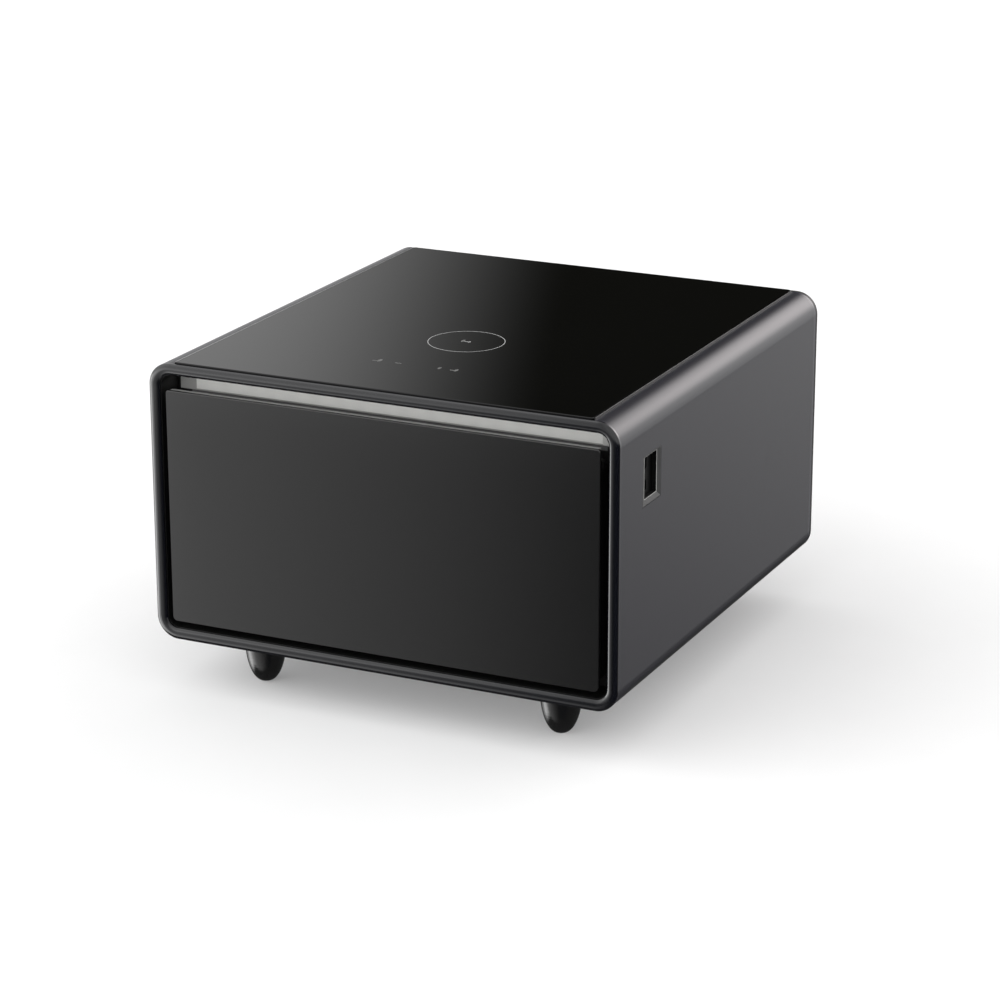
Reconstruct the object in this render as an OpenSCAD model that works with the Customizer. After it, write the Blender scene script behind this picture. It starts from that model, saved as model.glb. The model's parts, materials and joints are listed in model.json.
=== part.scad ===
// Low refrigerated cabinet with a full-width drawer, a glass top and four short feet.
// Origin at the middle of the footprint on the floor: front faces -Y, right is +X, up is +Z.

/* [Overall] */
// Width over the outer wrap
body_w = 673; // [650:1:720]
// Depth from the crest of the front ring to the back edge of the wrap
body_d = 706; // [694:1:760]
// Height from the floor to the face of the glass
total_h = 460; // [450:1:500]
// Height of the feet under the wrap
foot_h = 74; // [66:0.5:80]
// Outside corner radius of the wrap
corner_r = 31; // [28:1:38]

/* [Outer wrap] */
// Sheet thickness of the wrap
wrap_t = 2; // [1.2:0.1:2.5]
// Width of the ledge that carries the glass
ledge_w = 14; // [10:1:18]
// Width of the flange that carries the rear cover
rear_flange_w = 14; // [12:1:18]
// How far the rear cover lies in from the back edge
rear_recess = 6; // [5:0.5:10]

/* [Front ring and frame] */
// Width of the ring's face
ring_w = 15; // [13:0.5:18]
// Depth of the ring from its crest to its back
ring_depth = 6; // [5:0.5:8]
// How far the ring's face bulges
ring_crown = 3.2; // [2:0.1:4]
// Depth of the recess from the ring's crest to the sealing wall
recess_depth = 50; // [46:1:56]
// Wall thickness of the moulded front frame
frame_t = 3; // [2:0.5:3.5]
// Step from the ring's inner edge back to the frame's wall
frame_step = 1; // [0.5:0.5:2]

/* [Glass top] */
// Thickness of the glass
glass_t = 5; // [4:0.5:6]
// How far the glass stands above the wrap
glass_proud = 2.4; // [2:0.1:3.8]
// Distance from the side of the wrap to the glass slot
glass_side = 36.3; // [34:0.1:44]
// Width of each bright strip beside the glass
trim_w = 1.2; // [1:0.1:2]
// Bevel along the glass edges
glass_bevel = 0.8; // [0.5:0.1:1]
// Corner radius of the glass
glass_r = 4; // [2:0.5:8]

/* [Cold cavity] */
// Foam thickness beside the liner
foam_side_t = 54.2; // [45:0.1:58]
// Foam thickness under the liner
foam_bottom_t = 45.2; // [40:0.1:50]
// Foam thickness over the liner
foam_top_t = 45; // [40:0.5:50]
// Foam thickness behind the liner
foam_back_t = 40; // [30:1:45]
// Thickness of the liner
liner_t = 2; // [1.5:0.1:3]
// Inside corner radius of the liner
liner_r = 18; // [10:1:24]
// Height of the bay for electronics between the foam and the wrap's top
top_bay_h = 31.8; // [30:0.1:36]

/* [Drawer] */
// Gap between the drawer panel and the ring at each side
panel_gap = 10.5; // [8:0.5:12]
// Gap between the drawer panel and the ring below
panel_gap_low = 11.5; // [9:0.5:13]
// Height of the finger gap over the panel
finger_gap = 21; // [18:0.1:26]
// Thickness of the panel
panel_t = 5; // [4:0.5:7]
// Corner radius of the panel below
panel_r_low = 7; // [5:0.5:9]
// Corner radius of the panel above
panel_r_top = 3.5; // [2:0.5:6]
// Thickness of the insulated door behind the panel
door_t = 33; // [30:0.5:33.5]
// How far the door's top lies under the panel's top
scoop_h = 23; // [20:0.5:25]
// Radius of the finger groove along the door's top
scoop_r = 12; // [9:0.5:13]
// Gap between the drawer box's rim and the evaporator cover
box_back_gap = 6.5; // [4:0.5:20]
// Free height over the drawer box
box_top_gap = 68; // [50:1:90]
// Width of the rim round the drawer box
rim_w = 5; // [3:0.5:8]
// Wall of the drawer box
box_t = 2.5; // [2:0.1:3.5]
// Corner radius of the drawer box
box_r = 14; // [8:1:20]

/* [Slides] */
// Thickness of a closed slide
slide_t = 13; // [12.5:0.1:14]
// Height of a slide
slide_h = 45; // [40:1:50]
// Gap between the sealing wall and the front end of the slides
slide_in = 4; // [2:0.5:8]

/* [Light bar] */
// Height of the light bar
light_h = 26; // [24:0.5:30]
// Height of the finger recess above the light bar
light_drop = 4.3; // [3:0.1:6]
// Depth of the light bar
light_depth = 15; // [12:0.5:18]
// Length of each end cap
light_cap_l = 24; // [18:0.5:30]
// Gap between each side of the recess and the light bar
light_side_gap = 3.5; // [0.5:0.5:6]

/* [USB port] */
// Width of the bezel along the cabinet
usb_w = 59; // [52:0.5:64]
// Height of the bezel
usb_h = 67; // [60:0.5:70]
// Distance from the front to the bezel
usb_back = 76.5; // [68:0.5:90]
// Distance from the wrap's top to the bezel
usb_down = 63.7; // [60:0.5:80]

/* [Feet] */
// Radius of a foot where it meets the wrap
foot_r = 28; // [24:0.5:32]
// Height of the rounded part of a foot
foot_nose_h = 58; // [50:0.5:60]
// Radius of the flat that rests on the floor
foot_flat_r = 5; // [4:0.5:8]
// Distance of the feet from the front and the back
foot_inset = 89; // [80:1:96]
// Distance between the left and right feet
foot_pitch = 440; // [420:1:460]

/* [Machine bay] */
// Depth of the machine bay
bay_depth = 191; // [186:1:200]
// Radius of the compressor shell
comp_r = 66; // [60:1:68]
// Height from the compressor's stubs up to the pipes' way through the wall
pipe_rise = 39; // [30:1:50]
// Radius of the condenser fan
cond_fan_r = 56; // [48:1:58]
// Clearance round the evaporator fan's duct
duct_clear = 2.8; // [1:0.1:8]

/* [Hidden] */
$fn = 96;

// Colours
shell_gray = "#4a4a4c";
ring_black = "#2b2c30";
frame_black = "#121213";
glass_black = "#0b0b0c";
bright_metal = "#b9babc";
steel_gray = "#8d9093";
foam_cream = "#e8dfc0";
liner_white = "#e9ebec";
board_green = "#1f5a3a";
copper_brown = "#b06a3b";
light_white = "#e6e7df";

// Fits and small shared sizes
over = 1;
seat = 0.3;
run_gap = 0.05;
hull_fn = 32;

// Planes from front to back
front_y = -body_d / 2;
ring_back_y = front_y + ring_depth;
seal_y = front_y + recess_depth;
cell_y = seal_y + frame_t;
rear_y = body_d / 2;
cover_t = 2.5;
cover_out_y = rear_y - rear_recess;
cover_in_y = cover_out_y - cover_t;
bay_end_y = cover_in_y - wrap_t;
bay_y = bay_end_y - bay_depth;
bay_mid_y = (bay_y + bay_end_y) / 2;
bulkhead_t = 1.5;
foam_back_y = bay_y - bulkhead_t;
liner_back_y = foam_back_y - foam_back_t;
liner_in_back_y = liner_back_y - liner_t;

// Levels from the floor up
wrap_low_z = foot_h;
wrap_top_z = total_h - glass_proud;
floor_z = wrap_low_z + wrap_t;
mid_z = (wrap_low_z + wrap_top_z) / 2;
ledge_z = total_h - glass_t;
ledge_low_z = ledge_z - wrap_t;
foam_top_z = wrap_top_z - top_bay_h;
cell_low_z = floor_z + seat + foam_bottom_t + liner_t;
cell_top_z = foam_top_z - foam_top_t - liner_t;
cell_mid_z = (cell_low_z + cell_top_z) / 2;
cell_h = cell_top_z - cell_low_z;

// Half widths
half_w = body_w / 2;
shell_in = wrap_t + seat;
frame_in = ring_w + frame_step;
cell_hw = half_w - shell_in - foam_side_t - liner_t;
slot_hw = half_w - glass_side;
glass_hw = slot_hw - seat - trim_w - seat;

// A rounded rectangle about its centre
module round_rect(w, h, r) {
  square([w - 2 * r, h], center = true);
  square([w, h - 2 * r], center = true);
  for (sx = [-1, 1], sy = [-1, 1]) {
    translate([sx * (w / 2 - r), sy * (h / 2 - r)])
      circle(r);
  }
}

// The section of the body seen from the front, drawn in by an inset
module body_outline(inset) {
  translate([0, mid_z])
    round_rect(body_w - 2 * inset, wrap_top_z - wrap_low_z - 2 * inset, corner_r - inset);
}

// The section of the cold cavity, let out by a margin
module cell_outline(margin) {
  translate([0, cell_mid_z])
    round_rect(2 * (cell_hw + margin), cell_h + 2 * margin, liner_r + margin);
}

// An outline in X and Z drawn out along Y
module along_y(y0, y1) {
  translate([0, y1, 0])
    rotate([90, 0, 0])
      linear_extrude(y1 - y0)
        children();
}

// An outline in Y and Z drawn out along X
module along_x(x0, x1) {
  translate([x0, 0, 0])
    rotate([90, 0, 90])
      linear_extrude(x1 - x0)
        children();
}

// An outline in X and Y drawn out along Z
module along_z(z0, z1) {
  translate([0, 0, z0])
    linear_extrude(z1 - z0)
      children();
}

// A box between two corners
module span_box(low, high) {
  translate(low)
    cube(high - low);
}

// A rod along X, Y or Z from a start point
module rod_x(start, length, r) {
  translate(start)
    rotate([0, 90, 0])
      cylinder(h = length, r = r);
}
module rod_y(start, length, r) {
  translate(start)
    rotate([-90, 0, 0])
      cylinder(h = length, r = r);
}
module rod_z(start, length, r) {
  translate(start)
    cylinder(h = length, r = r);
}

// Everything below a level, as wide as the body
module below(z) {
  span_box([-body_w, -body_d, -over], [body_w, body_d, z]);
}

// Places of the four feet, with +Y towards the middle of the cabinet
foot_y = body_d / 2 - foot_inset;
module at_feet() {
  for (sx = [-1, 1], my = [0, 1]) {
    mirror([0, my, 0])
      translate([sx * foot_pitch / 2, -foot_y, 0])
        children();
  }
}

// Places of the bezel and its pocket
usb_y0 = front_y + usb_back;
usb_y1 = usb_y0 + usb_w;
usb_z1 = wrap_top_z - usb_down;
usb_z0 = usb_z1 - usb_h;

// Places of the rear cover's screws, on the middle of the flange
screw_r = 2;
screw_in = wrap_t + rear_flange_w / 2;
screw_side_x = half_w - screw_in;
screw_low_z = wrap_low_z + screw_in;
screw_x_shares = [-0.8, -0.27, 0.27, 0.8];
screw_z_shares = [0.3, 0.7];
module at_cover_screws() {
  for (share = screw_x_shares) {
    translate([share * half_w, 0, screw_low_z])
      children();
  }
  for (sx = [-1, 1], share = screw_z_shares) {
    translate([sx * screw_side_x, 0, wrap_low_z + share * (wrap_top_z - wrap_low_z)])
      children();
  }
}

// Outer wrap: a sleeve with a joggled slot for the glass and a flange for the rear cover
stud_r = 4;
stud_clear = 0.3;
slot_back_y = cover_out_y + seat;
flange_back_y = ring_back_y + frame_t;
module outer_wrap() {
  color(shell_gray)
    difference() {
      union() {
        along_y(ring_back_y, rear_y)
          difference() {
            body_outline(0);
            body_outline(wrap_t);
          }
        along_y(bay_end_y, cover_in_y)
          difference() {
            body_outline(wrap_t / 2);
            body_outline(wrap_t + rear_flange_w);
          }
        for (sx = [-1, 1]) {
          mirror([sx < 0 ? 1 : 0, 0, 0])
            span_box([slot_hw - ledge_w, flange_back_y + seat, ledge_low_z],
                     [slot_hw + wrap_t, slot_back_y + wrap_t, ledge_z]);
          mirror([sx < 0 ? 1 : 0, 0, 0])
            span_box([slot_hw, flange_back_y + seat, ledge_low_z],
                     [slot_hw + wrap_t, slot_back_y + wrap_t, wrap_top_z - wrap_t / 2]);
        }
        span_box([-slot_hw, slot_back_y - ledge_w, ledge_low_z],
                 [slot_hw, slot_back_y + wrap_t, ledge_z]);
        span_box([-slot_hw, slot_back_y, ledge_low_z],
                 [slot_hw, slot_back_y + wrap_t, wrap_top_z - wrap_t / 2]);
      }
      span_box([-slot_hw, front_y, ledge_z], [slot_hw, slot_back_y, total_h]);
      span_box([ledge_w - slot_hw, front_y, ledge_low_z - over],
               [slot_hw - ledge_w, slot_back_y - ledge_w, total_h]);
      span_box([-slot_hw, front_y, ledge_low_z - over],
               [slot_hw, flange_back_y + seat, total_h]);
      span_box([half_w - wrap_t - over, usb_y0 - seat, usb_z0 - seat],
               [half_w + over, usb_y1 + seat, usb_z1 + seat]);
      at_feet()
        rod_z([0, 0, wrap_low_z - over], wrap_t + 2 * over, stud_r + stud_clear);
      at_cover_screws()
        rod_y([0, bay_end_y - over, 0], wrap_t + 2 * over, screw_r + run_gap);
    }
}

// Front ring: one crowned section carried round the drawer opening
ring_arc_r = (ring_w * ring_w / 4 + ring_crown * ring_crown) / (2 * ring_crown);
module ring_section() {
  intersection() {
    square([ring_w, ring_depth]);
    translate([ring_w / 2, ring_depth - ring_arc_r])
      circle(ring_arc_r);
  }
}
module front_ring() {
  run_x = body_w - 2 * corner_r;
  run_z = wrap_top_z - wrap_low_z - 2 * corner_r;
  color(ring_black) {
    for (q = [0 : 3]) {
      translate([0, ring_back_y, mid_z])
        rotate([90, 0, 0])
          translate([sign(cos(90 * q + 45)) * run_x / 2, sign(sin(90 * q + 45)) * run_z / 2, 0])
            rotate([0, 0, 90 * q])
              rotate_extrude(angle = 90)
                translate([corner_r - ring_w, 0])
                  ring_section();
    }
    for (x = [-half_w, half_w - ring_w]) {
      translate([x, ring_back_y, mid_z - run_z / 2])
        mirror([0, 1, 0])
          linear_extrude(run_z)
            ring_section();
    }
    for (z = [wrap_low_z + ring_w, wrap_top_z]) {
      translate([-run_x / 2, ring_back_y, z])
        rotate([0, 90, 0])
          mirror([0, 1, 0])
            linear_extrude(run_x)
              ring_section();
    }
  }
}

// Front frame: the flange behind the ring and the wall round the recess
light_hw = half_w - frame_in - light_side_gap;
light_back_y = seal_y + light_depth;
light_z1 = wrap_top_z - frame_in - light_drop;
light_z0 = light_z1 - light_h;
module glass_notch(y0, y1) {
  span_box([-slot_hw - wrap_t - seat, y0, ledge_low_z - seat],
           [slot_hw + wrap_t + seat, y1, total_h]);
}
module front_frame() {
  color(frame_black)
    difference() {
      union() {
        along_y(ring_back_y, flange_back_y)
          body_outline(shell_in);
        along_y(ring_back_y, seal_y)
          body_outline(frame_in - frame_t);
      }
      along_y(ring_back_y - over, seal_y + over)
        body_outline(frame_in);
      span_box([-slot_hw - wrap_t, ring_back_y - over, ledge_z - seat],
               [slot_hw + wrap_t, flange_back_y, total_h]);
      glass_notch(flange_back_y, seal_y + over);
    }
}

// Sealing frame: the back wall of the recess, which the drawer's gasket meets
module seal_frame() {
  color(frame_black)
    difference() {
      along_y(seal_y, cell_y)
        body_outline(shell_in);
      along_y(seal_y - over, cell_y + over)
        cell_outline(0);
      span_box([-light_hw, seal_y - over, light_z0], [light_hw, cell_y + over, light_z1]);
      glass_notch(seal_y - over, cell_y + over);
    }
}

// Glass top with bevelled edges, and the bright strips along its long sides
module glass_top() {
  glass_y0 = ring_back_y + seat;
  glass_y1 = slot_back_y - seat;
  color(glass_black)
    translate([0, (glass_y0 + glass_y1) / 2, 0])
      hull() {
        along_z(ledge_z, total_h - glass_bevel)
          round_rect(2 * glass_hw, glass_y1 - glass_y0, glass_r, $fn = hull_fn);
        along_z(ledge_z, total_h)
          round_rect(2 * (glass_hw - glass_bevel), glass_y1 - glass_y0 - 2 * glass_bevel,
                     glass_r - glass_bevel, $fn = hull_fn);
      }
}
trim_low = 0.6;
module glass_edge_trims() {
  color(bright_metal)
    for (sx = [-1, 1]) {
      mirror([sx < 0 ? 1 : 0, 0, 0])
        span_box([slot_hw - trim_w, flange_back_y + 2 * seat, ledge_z],
                 [slot_hw, slot_back_y - seat, total_h - trim_low]);
    }
}

// Top tray under the glass, with ribs, and a ring that holds the charging coil
tray_t = 2.5;
tray_hw = slot_hw - ledge_w - seat;
tray_y0 = light_back_y + seat;
tray_y1 = slot_back_y - ledge_w - seat;
tray_top_z = ledge_z - seat;
tray_rib_shares = [-0.62, 0.62];
coil_x = 2.5;
coil_back = 258.5;
coil_y = front_y + coil_back;
coil_r = 26;
coil_t = 1.5;
ferrite_t = 2;
coil_ring_gap = 4;
coil_ring_r = coil_r + coil_ring_gap;
coil_top_z = tray_top_z - seat;
coil_low_z = coil_top_z - coil_t - ferrite_t;
module top_tray() {
  color(frame_black) {
    span_box([-tray_hw, tray_y0, foam_top_z], [tray_hw, tray_y1, foam_top_z + tray_t]);
    difference() {
      span_box([-tray_hw, tray_y0, foam_top_z], [tray_hw, tray_y1, tray_top_z]);
      span_box([tray_t - tray_hw, tray_y0 + tray_t, foam_top_z - over],
               [tray_hw - tray_t, tray_y1 - tray_t, tray_top_z + over]);
    }
    for (share = tray_rib_shares) {
      translate([share * tray_hw - tray_t / 2, 0, 0])
        span_box([0, tray_y0 + tray_t / 2, foam_top_z], [tray_t, tray_y1 - tray_t / 2, tray_top_z]);
    }
    difference() {
      rod_z([coil_x, coil_y, foam_top_z], tray_top_z - foam_top_z, coil_ring_r + tray_t);
      rod_z([coil_x, coil_y, coil_low_z], tray_top_z - coil_low_z + over, coil_ring_r);
    }
  }
}

// Charging coil: a ferrite disc with a flat winding drawn as stepped turns
coil_turns = 8;
coil_hole_r = 9;
coil_fill_share = 0.8;
module charging_coil() {
  turn_w = (coil_r - coil_hole_r) / coil_turns;
  color(copper_brown)
    translate([coil_x, coil_y, coil_low_z]) {
      rod_z([0, 0, 0], ferrite_t, coil_r + seat);
      difference() {
        rod_z([0, 0, 0], ferrite_t + coil_t / 2, coil_r);
        rod_z([0, 0, -over], ferrite_t + coil_t + 2 * over, coil_hole_r);
      }
      for (i = [0 : coil_turns - 1]) {
        r = coil_hole_r + turn_w * i;
        difference() {
          rod_z([0, 0, ferrite_t / 2], ferrite_t / 2 + coil_t, r + turn_w * coil_fill_share);
          rod_z([0, 0, -over], ferrite_t + coil_t + 2 * over, r);
        }
      }
    }
}

// A circuit board on four posts, in its own frame with the posts' feet at zero
board_t = 1.6;
post_r = 3;
module board(size, post_h) {
  difference() {
    translate([0, 0, post_h])
      linear_extrude(board_t)
        square(size, center = true);
  }
  for (sx = [-1, 1], sy = [-1, 1]) {
    rod_z([sx * (size[0] / 2 - 2 * post_r), sy * (size[1] / 2 - 2 * post_r), 0],
          post_h + board_t / 2, post_r);
  }
}
board_post_h = 6;
charge_board_w = 70;
charge_board_d = 50;
charge_chip = 14;
charge_chip_h = 3;
charge_cap_r = 4;
charge_cap_h = 9;
module charging_board() {
  charge_y = coil_y + coil_ring_r + charge_board_d;
  color(board_green)
    translate([coil_x, charge_y, foam_top_z + tray_t]) {
      board([charge_board_w, charge_board_d], board_post_h);
      translate([0, 0, board_post_h + board_t + charge_chip_h / 2 - seat])
        cube([charge_chip, charge_chip, charge_chip_h + seat], center = true);
      for (sx = [-1, 1]) {
        rod_z([sx * 2 * charge_chip, 0, board_post_h + board_t / 2],
              charge_cap_h, charge_cap_r);
      }
    }
}

// Touch board: sits high, with one spring pad under each mark on the glass
touch_back = 125.5;
touch_y = front_y + touch_back;
touch_board_w = 150;
touch_board_d = 36;
touch_post_h = 17;
touch_pad_r = 6;
touch_mark_xs = [-61, -36.5, 33.5, 54];
module touch_board() {
  touch_top_z = foam_top_z + tray_t + touch_post_h + board_t;
  color(board_green) {
    translate([0, touch_y, foam_top_z + tray_t])
      board([touch_board_w, touch_board_d], touch_post_h);
    for (x = touch_mark_xs) {
      rod_z([x, touch_y, touch_top_z - board_t / 2],
            tray_top_z - touch_top_z + board_t / 2, touch_pad_r);
    }
  }
}

// Light bar: a channel let into the sealing wall, with a diffuser, end caps and an LED strip
light_t = 1.5;
diffuser_t = 3;
diffuser_hw = light_hw - light_cap_l;
led_strip_t = 1.6;
led_strip_h = 10;
led_size = 5;
led_pitch = 33;
led_t = 0.8;
module light_section() {
  difference() {
    translate([seal_y, light_z0 + seat])
      square([light_depth, light_h - 2 * seat]);
    translate([seal_y - over, light_z0 + seat + light_t])
      square([light_depth + over - light_t, light_h - 2 * seat - 2 * light_t]);
  }
}
module light_housing() {
  color(bright_metal)
    along_x(-diffuser_hw, diffuser_hw)
      light_section();
}
module light_end_caps() {
  color(bright_metal)
    for (sx = [-1, 1]) {
      mirror([sx < 0 ? 1 : 0, 0, 0])
        span_box([diffuser_hw, seal_y, light_z0 + seat],
                 [light_hw - seat, light_back_y, light_z1 - seat]);
    }
}
module light_diffuser() {
  color(light_white)
    span_box([seat - diffuser_hw, seal_y, light_z0 + 2 * seat + light_t],
             [diffuser_hw - seat, seal_y + diffuser_t, light_z1 - 2 * seat - light_t]);
}
module led_strip() {
  strip_y = light_back_y - light_t - led_strip_t;
  strip_z = (light_z0 + light_z1) / 2;
  led_count = floor((diffuser_hw - led_pitch) / led_pitch);
  color(light_white) {
    span_box([light_t - diffuser_hw, strip_y, strip_z - led_strip_h / 2],
             [diffuser_hw - light_t, strip_y + led_strip_t, strip_z + led_strip_h / 2]);
    for (i = [-led_count : led_count]) {
      translate([i * led_pitch, strip_y + (led_strip_t - led_t) / 2, strip_z])
        cube([led_size, led_strip_t + led_t, led_size], center = true);
    }
  }
}

// Pipes between the machine bay and the cold cavity, which rise beside the compressor's axis
comp_x = -90;
stub_share = 0.55;
pipe_r = 4;
pipe_bend_r = 12;
capillary_r = 2.5;
pipe_clear = 0.5;
suction_x = comp_x - comp_r * stub_share;
capillary_x = 40;
pass_share = 0.61;
pass_z = cell_low_z + pass_share * cell_h;

// Cabinet liner: the moulded inner box, with holes for the pipes in its back
module cabinet_liner() {
  color(liner_white)
    difference() {
      along_y(cell_y, liner_back_y)
        cell_outline(liner_t);
      along_y(cell_y - over, liner_in_back_y)
        cell_outline(0);
      pipe_holes();
    }
}
module pipe_holes() {
  rod_y([suction_x, liner_in_back_y - over, pass_z], bay_y - liner_in_back_y + 2 * over,
        pipe_r + pipe_clear);
  rod_y([capillary_x, liner_in_back_y - over, pass_z], bay_y - liner_in_back_y + 2 * over,
        capillary_r + pipe_clear);
}

// Foam round the liner, with pockets for the light bar, the port block and the foot plates
plate_w = 46;
plate_l = 44;
plate_t = 3;
boss_r = 9;
boss_h = 14;
// Plan of a foot plate, which reaches towards the middle of the cabinet
module plate_plan(margin) {
  translate([0, plate_l / 2 - boss_r])
    square([plate_w + 2 * margin, plate_l + 2 * margin], center = true);
}
usb_pod_depth = 32;
usb_pod_gap = 2;
module insulation() {
  color(foam_cream)
    difference() {
      intersection() {
        along_y(cell_y, foam_back_y)
          body_outline(shell_in);
        below(foam_top_z);
      }
      along_y(cell_y - over, liner_back_y)
        cell_outline(liner_t + seat);
      pipe_holes();
      span_box([-body_w, cell_y - over, light_z0 - seat],
               [body_w, light_back_y + seat, foam_top_z + over]);
      span_box([half_w - usb_pod_depth, usb_y0 - usb_pod_gap, usb_z0 - usb_pod_gap],
               [half_w, usb_y1 + usb_pod_gap, usb_z1 + usb_pod_gap]);
      at_feet() {
        along_z(floor_z - over, floor_z + plate_t + seat)
          plate_plan(seat);
        rod_z([0, 0, floor_z - over], boss_h + seat + over, boss_r + seat);
      }
    }
}

// Bulkhead and base plate of the machine bay
module bulkhead() {
  color(steel_gray)
    difference() {
      intersection() {
        along_y(foam_back_y, bay_y)
          body_outline(shell_in);
        below(foam_top_z);
      }
      pipe_holes();
    }
}
base_t = 2.5;
base_rib_h = 10;
base_hw = half_w - corner_r;
base_z = floor_z + base_t;
base_y1 = bay_end_y - 2 * base_t;
module base_plate() {
  color(steel_gray)
    difference() {
      union() {
        span_box([-base_hw, bay_y, floor_z], [base_hw, base_y1, base_z]);
        for (y = [bay_y, base_y1 - base_t]) {
          span_box([-base_hw, y, floor_z], [base_hw, y + base_t, base_z + base_rib_h]);
        }
      }
      at_feet()
        along_z(floor_z - over, base_z + over)
          plate_plan(seat);
      at_comp_bolts()
        rod_z([0, 0, floor_z - over], base_t + 2 * over, comp_bolt_r + run_gap);
    }
}

// Foot: a revolved nose that swells from a small flat to the full radius
nose_steps = 20;
stud_in_foot = 14;
function nose_r(t) = foot_flat_r + (foot_r - foot_flat_r) * sqrt(1 - (1 - t) * (1 - t));
function nose_share(i) = pow(i / nose_steps, 2);
foot_points = concat(
  [[0, 0]],
  [for (i = [0 : nose_steps]) [nose_r(nose_share(i)), foot_nose_h * nose_share(i)]],
  [[foot_r, foot_h], [0, foot_h]]
);
module feet() {
  color(frame_black)
    at_feet()
      difference() {
        rotate_extrude()
          polygon(foot_points);
        rod_z([0, 0, foot_h - stud_in_foot], stud_in_foot + over, stud_r + run_gap);
      }
}
module foot_studs() {
  color(bright_metal)
    at_feet()
      rod_z([0, 0, foot_h - stud_in_foot], stud_in_foot + wrap_t + boss_h, stud_r);
}
module foot_plates() {
  color(steel_gray)
    at_feet()
      translate([0, 0, floor_z])
        difference() {
          union() {
            along_z(0, plate_t)
              plate_plan(0);
            rod_z([0, 0, 0], boss_h, boss_r);
          }
          rod_z([0, 0, -over], boss_h + 2 * over, stud_r + run_gap);
        }
}

// USB bezel: a frame in the wrap whose mouth slopes inwards on all four sides
usb_flush = 0.2;
usb_mouth_depth = 2.5;
usb_body_depth = 16;
usb_rim_low = 8;
usb_rim_top = 3.5;
usb_rim_front = 10;
usb_rim_back = 9;
usb_lip = 1.5;
usb_hole_y0 = usb_y0 + usb_rim_front;
usb_hole_y1 = usb_y1 - usb_rim_back;
usb_hole_z0 = usb_z0 + usb_rim_low;
usb_hole_z1 = usb_z1 - usb_rim_top;
usb_face_x = half_w - usb_flush;
module usb_mouth() {
  in_x = usb_face_x - usb_mouth_depth;
  intersection() {
    along_y(usb_y0, usb_y1)
      polygon([[in_x, usb_hole_z0], [in_x, usb_hole_z1],
               [usb_face_x, usb_z1 - usb_lip], [usb_face_x, usb_z0 + usb_lip]]);
    along_z(usb_z0, usb_z1)
      polygon([[in_x, usb_hole_y0], [in_x, usb_hole_y1],
               [usb_face_x, usb_y1 - usb_lip], [usb_face_x, usb_y0 + usb_lip]]);
  }
}
module usb_bezel() {
  color(steel_gray)
    difference() {
      span_box([usb_face_x - usb_body_depth, usb_y0, usb_z0], [usb_face_x, usb_y1, usb_z1]);
      span_box([usb_face_x - usb_body_depth - over, usb_hole_y0, usb_hole_z0],
               [usb_face_x - usb_mouth_depth, usb_hole_y1, usb_hole_z1]);
      usb_mouth();
    }
}

// Port block: two sockets, one above the other, each with its tongue
usb_block_in = 9;
usb_block_len = 16;
port_w = 5.2;
port_l = 13.4;
port_depth = 11;
tongue_t = 1.8;
tongue_l = 11.2;
tongue_back = 1;
port_shift_shares = [-0.26, 0.26];
module usb_ports() {
  block_x1 = usb_face_x - usb_block_in;
  block_y = (usb_hole_y0 + usb_hole_y1) / 2;
  block_z = (usb_hole_z0 + usb_hole_z1) / 2;
  block_h = usb_hole_z1 - usb_hole_z0;
  color(frame_black) {
    difference() {
      span_box([block_x1 - usb_block_len, usb_hole_y0 + seat, usb_hole_z0 + seat],
               [block_x1, usb_hole_y1 - seat, usb_hole_z1 - seat]);
      for (share = port_shift_shares) {
        translate([block_x1 - port_depth / 2, block_y, block_z + share * block_h])
          cube([port_depth + over, port_w, port_l], center = true);
      }
    }
    for (share = port_shift_shares) {
      translate([block_x1 - port_depth / 2 - tongue_back,
                 block_y + port_w / 2 - tongue_t, block_z + share * block_h])
        cube([port_depth, tongue_t, tongue_l], center = true);
    }
  }
}

// Compressor: welded shell with a seam, mounting bracket, relay cover and pipe stubs
comp_lift = 10;
comp_bolt_r = 3;
comp_plate_t = 3;
comp_plate_w = 190;
comp_plate_d = 110;
comp_bolt_in = 14;
grommet_r = 10;
grommet_neck_r = 6.5;
comp_dome = 26;
comp_seam_r = 3;
comp_seam_h = 4;
relay_w = 44;
relay_d = 26;
relay_h = 50;
stub_h = 14;
comp_base_z = base_z + comp_lift;
comp_h = pass_z - pipe_rise - stub_h - comp_base_z;
relay_out = 13.5;
comp_seam_share = 0.45;
skirt_share = 0.7;
module at_comp_bolts() {
  for (sx = [-1, 1], sy = [-1, 1]) {
    translate([comp_x + sx * (comp_plate_w / 2 - comp_bolt_in),
               bay_mid_y + sy * (comp_plate_d / 2 - comp_bolt_in), 0])
      children();
  }
}
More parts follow.
